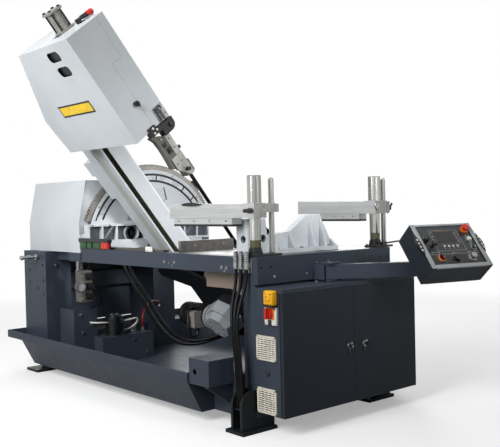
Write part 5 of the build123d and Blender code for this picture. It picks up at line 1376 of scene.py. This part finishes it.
@dataclass
class Carriage:
    """The feed carriage with the tilt sector."""

    fan: tuple[float, float] = (0.369, 0.992)
    hub: tuple[float, float] = (0.580, 0.900)

    def build(self) -> None:
        """Dress the carriage and the sector."""
        # The floors of the recesses in the carriage's front are painted dark grey as shade.
        softened("carriage_casting", [Coat.GREY_CAST, Coat.RECESS_SHADE], 0.003,
                 lambda p, n: int(n.y < -0.9 and 1.730 < p.y < 1.784 and p.z < 1.058))
        softened("tilt_sector", [Coat.GREY, Coat.BLACK], 0.0008, self.sector_coat)
        softened("tilt_gear", [Coat.TEETH, Coat.COPPER], 0.0008, lambda p, n: int(p.x < 0.075))
        self.sector_trim()
        self.fan_trim()

    def sector_coat(self, place: Vector, normal: Vector) -> int:
        """Slot walls painted black as shade, in a pale plate."""
        cut = 1.7852 < place.y < 1.7935 and abs(normal.y) < 0.5 or abs(place.y - 1.792) < 0.0006
        return int(cut and (place.y > 1.79 or math.hypot(place.x - self.hub[0], place.z - self.hub[1]) > 0.2))

    def ring_point(self, reach: float, degrees: float) -> Point:
        """A point about the tilt axis by its distance and its angle from upright."""
        angle = math.radians(degrees)
        return self.hub[0] + reach * math.sin(angle), self.hub[1] + reach * math.cos(angle)

    def ring(self, shape: Shape, reach: tuple[float, float], sweep: tuple[float, float], y: float,
             thick: float) -> None:
        """Add a flat piece of a ring about the tilt axis.

        Args:
            shape: The shape that gets it.
            reach: Inner and outer radius.
            sweep: Angles from upright at its ends.
            y: Where its front lies.
            thick: Thickness.
        """
        steps = [sweep[0] + (sweep[1] - sweep[0]) * k / 60 for k in range(61)]
        inner = [self.ring_point(reach[0], a) for a in steps]
        outer = [self.ring_point(reach[1], a) for a in steps]
        shape.plate(outer + inner[::-1], thick, upright(y))

    def sector_trim(self) -> None:
        """Lay the polished band between black rings that paint the slots' shade, with stops, bolts and a
        backing for the windows.
        """
        slots = (-65, 52)
        shape = Shape()
        self.ring(shape, (0.4675, 0.4985), slots, 1.7846, 0.0009)
        # The black rings on either side of the band are painted shade along the slots.
        self.ring(shape.wear(1), (0.4985, 0.5140), slots, 1.7845, 0.0010)
        self.ring(shape, (0.4520, 0.4675), slots, 1.7845, 0.0010)
        self.ring(shape.wear(2), (0.150, 0.440), (-58, 58), 1.7974, 0.0015)
        shape.wear(1)
        for angle in (-20, 4, 34, 47):
            x, z = self.ring_point(0.483, angle)
            shape.block((x - 0.004, 1.779, z - 0.017), (x + 0.004, 1.786, z + 0.017), 0.001,
                        twist=turn(angle, "Y"))
        spots = [self.ring_point(0.5255, angle) for angle in (-58, -40, 20, 50)]
        shape.wear(3).bolts([(x, 1.785, z) for x, z in spots], FRONT, 0.006)
        shape.finish("sector_trim", "carriage", [Coat.BAND, Coat.BLACK, Coat.GREY, Coat.ZINC])

    def fan_trim(self) -> None:
        """Put the dark fan in its hole and bolts on the casting and round the hub."""
        x, z = self.fan
        blades, half = 9, Vector((0.014, 0.009, 0.0015))
        shape = Shape()
        shape.rod((x, 1.782, z), (x, 1.778, z), 0.0497, sides=40)
        shape.rod((x, 1.779, z), (x, 1.752, z), 0.016, sides=24, rounding=0.002)
        for k, middle in enumerate(circle((x, 1.766, z), 0.031, blades, 1)):
            shape.block(middle - half, middle + half, 0.0006,
                        twist=Matrix.Rotation(-math.tau * k / blades, 4, "Y") @ turn(35, "X"))
        # The ring round the hole's wall wears the dark painted-shade coat.
        shape.wear(1).turned(ring_profile(0.0495, 0.060, 0.006), (x, 1.733, z), FRONT, 48)
        shape.wear(2).screws(circle((x, 1.727, z), 0.0548, 6, 1, 0.3), FRONT, 0.0035)
        shape.bolts([(bx, 1.725, 1.052) for bx in (0.046, 0.180, 0.640, 0.800, 0.960)], FRONT, 0.006)
        shape.bolts(circle((self.hub[0], 1.725, self.hub[1]), 0.088, 8, 1), FRONT, 0.009)
        shape.finish("carriage_trim", "carriage", [Coat.BLACK, Coat.SHADE, Coat.ZINC])


@dataclass
class SawHead:
    """The leaning head with its wheels, housing, guides and drive."""

    front: float = 0.775
    tip: float = 0.605
    wheel_low: float = -0.470
    dark_end: float = -0.128
    gear_y: float = 1.147
    motor_x: float = -0.205
    cylinder: tuple[float, float, float] = (-0.057, 1.015, 1.666)

    def build(self) -> None:
        """Dress the head's nodes."""
        softened("head_frame", [Coat.GREY, Coat.GROOVE_SHADE, Coat.SLOT_SHADE, Coat.FOOT], 0.002, self.frame_coat,
                 place=HEAD, cuts=[((0, 0, self.dark_end), UP)])
        plain(Coat.GREY, 0.001, "wheel_housing")
        softened("housing_door", [Coat.GREY, Coat.ZINC], 0.001, lambda p, n: int(p.y < self.front - 0.0005),
                 place=HEAD)
        plain(Coat.BLACK, 0.003, "door_knob")
        plain(Coat.GROUND, 0.001, "tension_slide")
        plain(Coat.GREY_CAST, 0.001, "idler_wheel", "drive_wheel")
        plain(Coat.FOOT, 0.001, "lower_guard")
        plain(Coat.BLACK_CAST, 0.001, "lower_guide")
        plain(Coat.BLACK_CAST, 0.003, "guide_bracket")
        softened("guide_arm", [Coat.GUIDE, Coat.IRON, Coat.BLACK], 0.001, self.guide_coat, place=HEAD)
        plain(Coat.GREY, 0.002, "tilt_motor")
        plain(Coat.TEETH, 0.0006, "tilt_pinion")
        frame["nodes"]["blade"].data.materials.clear()
        frame["nodes"]["blade"].data.materials.append(Coat.BLADE.material())
        self.housing_trim()
        self.latch_trim()
        self.guide_trim()
        self.tension()
        self.gearbox()
        self.motor()
        self.terminal_box()

    def frame_coat(self, place: Vector, normal: Vector) -> int:
        """Grooved pale column whose groove and strand slot are painted darker as the shade in those recesses,
        and a lower end painted dark, partly as the shade under the table.

        Args:
            place: A face's centre in the head frame.
            normal: The face's normal in the head frame.

        Returns:
            The number of the face's coat.
        """
        # Below the cut the column is painted dark, partly as the shade under the table.
        if place.z < self.dark_end:
            return 3
        if abs(place.x + 0.064) < 0.0008 and 1.52 < place.y < 1.61:
            return 1
        slot = -0.0562 < place.x < 0.0702 and 1.443 < place.y < 1.5155 and place.z < 0.976
        return 2 if slot and (normal.y > -0.5 or place.y > 1.5) else 0

    def guide_coat(self, place: Vector, normal: Vector) -> int:
        """Milled bar and toe, iron channel and shoes, black knobs.

        Args:
            place: A face's centre in the head frame.
            normal: The face's normal in the head frame; not used.

        Returns:
            The number of the face's coat.
        """
        climb = place.z - self.tip
        if place.y < 0.783 or place.x > 0.0085 and 0.15 < climb < 0.21:
            return 2
        return int(place.x < -0.0825 or place.x < -0.0325 and climb > 0.1505 or place.y > 0.8035)

    def housing_trim(self) -> None:
        """Put black pockets behind the hand holes as painted shade, the seam's gasket, a painted highlight
        strip on the column's edge and a plain plate.
        """
        shape = Shape(HEAD)
        # Black sheets inside the hand holes paint the shade within them.
        for y, z in ((1.002, 1.591), (0.994, 1.495)):
            shape.block((-0.203, y - 0.075, z - 0.044), (-0.198, y + 0.075, z + 0.044), 0.0)
            for a, b in ((-0.075, -0.068), (0.068, 0.075)):
                shape.block((-0.2148, y + a, z - 0.044), (-0.198, y + b, z + 0.044), 0.0)
            for a, b in ((-0.044, -0.0365), (0.0365, 0.044)):
                shape.block((-0.2148, y - 0.075, z + a), (-0.198, y + 0.075, z + b), 0.0)
        shape.wear(1)
        for x0, x1, z0, z1 in ((-0.0632, -0.0616, 0.9775, 1.4095), (-0.0632, 0.0134, 1.4085, 1.4103),
                               (0.0118, 0.0134, 1.4095, 1.6655)):
            shape.block((x0, 0.7753, z0), (x1, 0.7785, z1), 0.0)
        shape.finish("housing_gasket_and_hole_shade", "head", [Coat.BLACK, Coat.SEAM])
        # A pale strip down the column's right edge is a painted highlight.
        edge = Shape(HEAD)
        edge.block((0.0650, 1.4407, -0.020), (0.0745, 1.4423, 0.972), 0.0005)
        edge.finish("column_edge_highlight", "head", [Coat.EDGE_HIGHLIGHT])
        plate = Shape(HEAD)
        plate.block((-0.2192, 0.956, 1.221), (-0.2178, 1.326, 1.299), 0.0004)
        plate.wear(1).block((-0.2197, 0.967, 1.232), (-0.2180, 1.315, 1.288), 0.0004)
        plate.finish("plain_yellow_plate", "head", [Coat.BLACK, Coat.PLATE])

    def latch_trim(self) -> None:
        """Build the toggle latch on the door."""
        face = self.front - 0.018
        shape = Shape(HEAD)
        shape.block((0.008, face - 0.010, 0.984), (0.030, face + 0.001, 1.062), 0.003)
        shape.rod((0.019, face - 0.016, 0.985), (0.019, face - 0.016, 1.050), 0.008, sides=24, rounding=0.001)
        shape.rod((0.019, face - 0.016, 1.045), (0.019, face - 0.016, 1.066), 0.012, sides=24, rounding=0.002)
        shape.block((0.032, face - 0.006, 0.990), (0.050, face + 0.001, 1.030), 0.002)
        shape.rod((0.041, face - 0.012, 1.010), (0.041, face, 1.010), 0.006, sides=6)
        shape.wear(1).block((-0.0125, face - 0.003, 0.982), (0.000, face + 0.002, 1.068), 0.002)
        shape.block((0.012, face - 0.029, 1.052), (0.026, face - 0.009, 1.074), 0.004)
        shape.finish("door_latch", "housing_door", [Coat.ZINC, Coat.BLACK])

    def guide_trim(self) -> None:
        """Put screws, pads and knobs on the guide's bracket and arm."""
        shape = Shape(HEAD)
        shape.screws([(-0.096, 0.752, 0.958), (-0.070, 0.752, 0.968), (-0.091, 0.752, 0.988)], FRONT, 0.0065)
        shape.wear(1).rod((0.030, 0.752, 0.937), (0.030, 0.738, 0.937), 0.016, sides=28, rounding=0.003)
        shape.finish("guide_bracket_trim", "head", [Coat.WHITE, Coat.BLACK])
        arm, tip = Shape(HEAD), self.tip
        spots = ((-0.060, 0.784, 0.110), (-0.024, 0.784, 0.110), (-0.012, 0.788, 0.200),
                 (-0.012, 0.788, 0.260), (-0.040, 0.784, 0.075))
        arm.screws([(x, y, tip + climb) for x, y, climb in spots], FRONT, 0.0055)
        arm.wear(1).block((-0.070, 0.7855, tip + 0.185), (-0.040, 0.793, tip + 0.225), 0.002)
        arm.block((-0.075, 0.7865, tip + 0.235), (-0.050, 0.793, tip + 0.262), 0.002)
        arm.rod((-0.058, 0.792, tip + 0.205), (-0.058, 0.776, tip + 0.205), 0.007, sides=20, rounding=0.001)
        arm.wear(0).rod((-0.064, 0.793, tip + 0.290), (-0.064, 0.786, tip + 0.290), 0.006, sides=6)
        arm.finish("guide_arm_trim", "guide_arm", [Coat.ZINC, Coat.BLACK])

    def tension(self) -> None:
        """Build the blade tension cylinder with its cap, tie rods, valve and lever."""
        x, y, top = self.cylinder
        shape = Shape(HEAD)
        shape.block((x - 0.044, y - 0.044, top), (x + 0.044, y + 0.044, top + 0.013), 0.002)
        rings = [(0.0, 0.010), (0.040, 0.010)]
        for k in range(10):
            z = 0.016 + k * 0.0105
            rings += [(0.040, z), (0.0392, z + 0.001), (0.0392, z + 0.002), (0.040, z + 0.003)]
        shape.turned(rings + [(0.040, 0.120), (0.0, 0.120)], (x, y, top), UP, 44)
        shape.block((x - 0.046, y - 0.046, top + 0.118), (x + 0.046, y + 0.046, top + 0.133), 0.003)
        shape.wear(1)
        for a in (x - 0.033, x + 0.033):
            for b in (y - 0.033, y + 0.033):
                shape.rod((a, b, top + 0.004), (a, b, top + 0.137), 0.0055, sides=16)
                shape.rod((a, b, top + 0.132), (a, b, top + 0.141), 0.0095, sides=6, rounding=0.0006)
        # A thin black sheet on the housing beside the cylinder's foot is a painted shadow.
        shape.block((x - 0.074, y - 0.040, top - 0.0005), (x - 0.044, y + 0.036, top + 0.0012), 0.0)
        shape.block((-0.020, 0.885, top - 0.0005), (0.014, 0.930, top + 0.028), 0.003)
        shape.rod((0.010, 0.907, top + 0.018), (0.054, 0.904, top + 0.017), 0.0155, sides=32, rounding=0.002)
        shape.wear(2).rod((0.052, 0.904, top + 0.017), (0.097, 0.902, top + 0.017), 0.0180, 0.0172, 32, 0.005)
        shape.wear(3).pipe([(-0.004, 0.888, top + 0.010), (0.004, 0.872, top + 0.010),
                            (0.040, 0.876, top + 0.004), (0.075, 0.878, top + 0.001)], 0.004)
        coats = [Coat.CYLINDER, Coat.BLACK_CAST, Coat.RED, Coat.ZINC]
        shape.finish("tension_cylinder_finished", "head", coats, ["tension_cylinder"])

    def gearbox(self) -> None:
        """Build the eight-sided gearbox with its flange, neck and bolts."""
        low, y, x = self.wheel_low, self.gear_y, self.motor_x
        shape = Shape(HEAD)
        shape.wear(2).rod((-0.090, y, low), (-0.114, y, low), 0.119, sides=48, rounding=0.002)
        shape.rod((-0.110, y, low), (-0.168, y, low), 0.140, 0.138, 8, 0.004)
        shape.wear(0).rod((-0.166, y, low), (-0.250, y, low), 0.137, 0.126, 8, 0.005)
        shape.rod((-0.246, y, low), (-0.296, y, low), 0.112, 0.094, 8, 0.005)
        shape.rod((x, y, low), (x, 1.284, low), 0.070, sides=36)
        shape.rod((x, 1.276, low), (x, 1.291, low), 0.085, sides=44, rounding=0.002)
        shape.wear(1).bolts(circle((-0.250, y, low), 0.116, 8, 0), LEFT, 0.006)
        shape.bolts(circle((-0.296, y, low), 0.062, 6, 0), LEFT, 0.006)
        shape.finish("gearbox_finished", "head", [Coat.CONE, Coat.ZINC, Coat.FOOT], ["gearbox"])

    def motor(self) -> None:
        """Build the finned drive motor."""
        low, x = self.wheel_low, self.motor_x
        shape = Shape(HEAD)
        shape.rod((x, 1.290, low), (x, 1.545, low), 0.076, sides=48)
        for start in circle((x, 1.302, low), 0.078, 26, 1):
            shape.rod(start, start + Vector((0, 0.236, 0)), 0.0055, sides=8)
        bell = [(0.0, 0.0), (0.080, 0.0), (0.084, 0.004), (0.084, 0.028), (0.078, 0.034), (0.0, 0.034)]
        shape.turned(bell, (x, 1.538, low), (0, 1, 0), 48)
        shape.finish("drive_motor_finished", "head", [Coat.BLACK_CAST], ["drive_motor"])

    def terminal_box(self) -> None:
        """Build the motor's upright terminal box with its cable, in the machine frame."""
        box = Shape()
        box.block((0.577, 1.320, 0.336), (0.672, 1.402, 0.445), 0.004)
        box.block((0.573, 1.312, 0.332), (0.676, 1.322, 0.449), 0.002)
        box.wear(1).screws([(x, 1.3123, z) for x in (0.582, 0.667) for z in (0.341, 0.440)], FRONT, 0.004)
        box.wear(2).rod((0.635, 1.355, 0.337), (0.635, 1.355, 0.312), 0.014, sides=6, rounding=0.001)
        box.pipe([(0.635, 1.355, 0.330), (0.635, 1.352, 0.285), (0.600, 1.350, 0.262), (0.560, 1.352, 0.300),
                  (0.556, 1.360, 0.390), (0.580, 1.385, 0.455), (0.630, 1.408, 0.468),
                  (0.662, 1.420, 0.448)], 0.0085)
        box.finish("terminal_box", "head", [Coat.TERMINAL, Coat.ZINC, Coat.BLACK], ["drive_motor"])


@dataclass
class Hoses:
    """The free hoses, each one smooth spline on its route."""

    thin: float = 0.018
    thick: float = 0.026
    detail: int = 24

    def length(self, path: Sequence[Point]) -> float:
        """Length along a line of points."""
        return sum((Vector(b) - Vector(a)).length for a, b in zip(path, path[1:]))

    def hose(self, name: str, route: Sequence[Point], diameter: float, node: str,
             bodies: tuple[str, str]) -> None:
        """One hose as a mesh tube that follows its route's spline.

        Args:
            name: The piece's name.
            route: Control points in the machine frame.
            diameter: The hose's outer diameter.
            node: The node that the hose stands for.
            bodies: The bodies at its two ends; where both are the same the hose rides on that body, and
                otherwise it stays where it is drawn.
        """
        places = [MACHINE @ Vector(p) for p in route]
        bare = tube(name + "_line", places, 0.0, self.detail)
        path = [v.co.copy() for v in bare.vertices]
        bpy.data.meshes.remove(bare)
        data = tube(name, places, diameter / 2, self.detail)
        data.materials.clear()
        data.materials.append(Coat.HOSE.material())
        data.shade_smooth()
        made = bpy.data.objects.new(name, data)
        bpy.context.scene.collection.objects.link(made)
        if bodies[0] == bodies[1]:
            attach(made, bodies[0])
        else:
            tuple(path[0])
            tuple(path[-1])
            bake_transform(made)
        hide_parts(node)
        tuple(path[0])
        self.length(path)
        LOG.info("%s: %.2f m of hose", name, self.length(path))

    def build(self) -> None:
        """Lay the three thin hoses down the front leg and the two thick ones to the head."""
        for k, (x, start, top) in enumerate(COUPLERS):
            end = 0.051 + 0.01825 * k
            route = [(x, start, top), (x, start, 0.770), (-0.066, (start + end) / 2 + 0.016, 0.650),
                     (-0.092, end + 0.016, 0.540), (-0.078, end, 0.340), (-0.074, end, 0.128)]
            self.hose(f"leg_hose_{k + 1}", route, self.thin, "hose_bundle", ("base", "base"))
        sag = [(0.310, 1.680, 0.660), (0.368, 1.622, 0.520), (0.420, 1.556, 0.370), (0.486, 1.470, 0.250),
               (0.570, 1.376, 0.215), (0.660, 1.270, 0.240), (0.740, 1.190, 0.285)]
        for k in range(2):
            x = 0.276 + 0.034 * k
            shift = Vector((0.014 * k, -0.030 * k, 0.026 * k))
            route = [(x, 1.734, 0.886), (x, 1.734, 0.790)] + [tuple(Vector(p) + shift) for p in sag]
            self.hose(f"head_hose_{k + 1}", route, self.thick, "hose_loop", ("carriage", "head"))


@dataclass(frozen=True)
class Lamp:
    """A square soft light by its place, the point it faces, its side in metres, its watts and its spread."""

    name: str
    place: tuple[float, float, float]
    aim: tuple[float, float, float]
    size: float
    power: float
    spread: float

    def hang(self) -> None:
        """Hang the light and turn it to its aim."""
        light = bpy.data.lights.new(self.name, "AREA")
        light.size = self.size
        light.energy = self.power
        light.spread = math.radians(self.spread)
        made = bpy.data.objects.new(self.name, light)
        bpy.context.scene.collection.objects.link(made)
        made.location = self.place
        made.rotation_euler = (Vector(self.aim) - Vector(self.place)).to_track_quat("-Z", "Y").to_euler()


@dataclass
class Studio:
    """Floor, lights and the camera."""

    eye: tuple[float, float, float] = (-2.6920, -3.0525, 1.1673)
    yaw: float = 40.97
    pitch: float = -1.309
    roll: float = 1.322
    focal_pixels: float = 798.6
    picture_width: float = 500.0
    sensor: float = 36.0
    floor_span: float = 30.0
    floor_glow: float = 0.34
    floor_fade: tuple[float, float] = (2.4, 6.0)
    sky_fill: float = 0.15

    def camera(self) -> None:
        """Set the camera where the photograph was taken."""
        yaw, pitch, roll = (math.radians(a) for a in (self.yaw, self.pitch, self.roll))
        ahead = Vector((math.sin(yaw) * math.cos(pitch), math.cos(yaw) * math.cos(pitch), math.sin(pitch)))
        right = Vector((math.cos(yaw), -math.sin(yaw), 0.0))
        down = ahead.cross(right)
        across = math.cos(roll) * right + math.sin(roll) * down
        below = math.cos(roll) * down - math.sin(roll) * right
        lens = bpy.data.cameras.new("photo_camera")
        lens.sensor_width = self.sensor
        lens.lens = self.focal_pixels * self.sensor / self.picture_width
        lens.clip_end = 200.0
        camera = bpy.data.objects.new("photo_camera", lens)
        bpy.context.scene.collection.objects.link(camera)
        turned = Matrix((across, -below, -ahead)).transposed().to_4x4()
        camera.matrix_world = Matrix.Translation(MACHINE @ Vector(self.eye)) @ turned
        bpy.context.scene.camera = camera

    def floor(self) -> None:
        """Lay a pale floor that fades into the backdrop far out."""
        g = Graph(bpy.data.materials.new("pale_floor"))
        g.wire("Roughness", 0.85)
        path = g.add("ShaderNodeLightPath")
        pale = g.mix(g.noise(1.4, 4.0), (0.88, 0.88, 0.88, 1), (0.92, 0.92, 0.92, 1))
        g.wire("Base Color", g.mix(path.outputs["Is Diffuse Ray"], pale, (0.30, 0.30, 0.30, 1)))
        g.wire("Emission Color", (1, 1, 1, 1))
        g.wire("Emission Strength", g.maths("MULTIPLY", path.outputs["Is Camera Ray"], self.floor_glow))
        distance = g.add("ShaderNodeVectorMath", operation="LENGTH")
        g.put(distance.inputs[0], g.place)
        clear = g.add("ShaderNodeBsdfTransparent")
        fade = g.add("ShaderNodeMixShader")
        g.put(fade.inputs[0], g.span(distance.outputs["Value"], self.floor_fade, (0.0, 1.0)))
        g.put(fade.inputs[1], g.shader.outputs["BSDF"])
        g.put(fade.inputs[2], clear.outputs["BSDF"])
        g.put(g.tree.nodes["Material Output"].inputs["Surface"], fade.outputs["Shader"])
        mesh = bmesh.new()
        bmesh.ops.create_grid(mesh, x_segments=8, y_segments=8, size=self.floor_span / 2)
        data = bpy.data.meshes.new("floor")
        mesh.to_mesh(data)
        mesh.free()
        data.materials.append(g.owner)
        floor = bpy.data.objects.new("floor", data)
        bpy.context.scene.collection.objects.link(floor)
        floor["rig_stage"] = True

    def sky(self) -> None:
        """Make the backdrop white to the eye and in reflections, and a soft fill elsewhere."""
        g = Graph(bpy.data.worlds.new("white_backdrop"), "Background")
        bpy.context.scene.world = g.owner
        path = g.add("ShaderNodeLightPath").outputs
        seen = g.maths("MAXIMUM", path["Is Camera Ray"], path["Is Transmission Ray"])
        clear = g.maths("MAXIMUM", seen, path["Is Glossy Ray"])
        g.wire("Color", (1, 1, 1, 1))
        g.wire("Strength", g.span(clear, (0.0, 1.0), (self.sky_fill, 1.0)))

    def build(self) -> None:
        """Set up the studio."""
        bpy.context.scene.view_settings.view_transform = "Standard"
        self.camera()
        self.floor()
        self.sky()
        for lamp in (Lamp("left_key", (-5.0, -1.6, 3.6), (-0.2, 0.2, 1.0), 3.0, 135.0, 120.0),
                     Lamp("top_fill", (0.4, -0.4, 6.0), (0.0, 0.0, 0.8), 4.0, 15.0, 120.0),
                     Lamp("head_left", (-4.5, -0.6, 1.9), (-0.6, 0.2, 1.8), 1.2, 7.5, 50.0),
                     Lamp("table_front", (0.2, -4.6, 2.8), (0.0, -0.3, 1.3), 1.0, 5.0, 40.0),
                     Lamp("sector_front", (0.7, -4.4, 2.5), (0.22, 0.50, 1.15), 0.8, 2.8, 22.0),
                     Lamp("rear_fill", (4.2, 3.6, 3.2), (0.0, 0.2, 0.9), 3.0, 60.0, 120.0)):
            lamp.hang()


def write_sizes() -> None:
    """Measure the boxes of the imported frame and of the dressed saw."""
    boxes = {"cad": CAD_BOX, "visual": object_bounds()}
    {key: [list(low), list(high)] for key, (low, high) in boxes.items()}


def main() -> None:
    """Build the sub-assemblies in order."""
    logging.basicConfig(level=logging.INFO, format="%(message)s")
    for part in (Studio(), Hoses(), StandingFrame(), ControlCabinet(), Hydraulics(), WorkHolding(), Console(),
                 Carriage(), SawHead()):
        LOG.info("building %s", type(part).__name__)
        part.build()
    write_sizes()


if __name__ == "__main__":
    main()
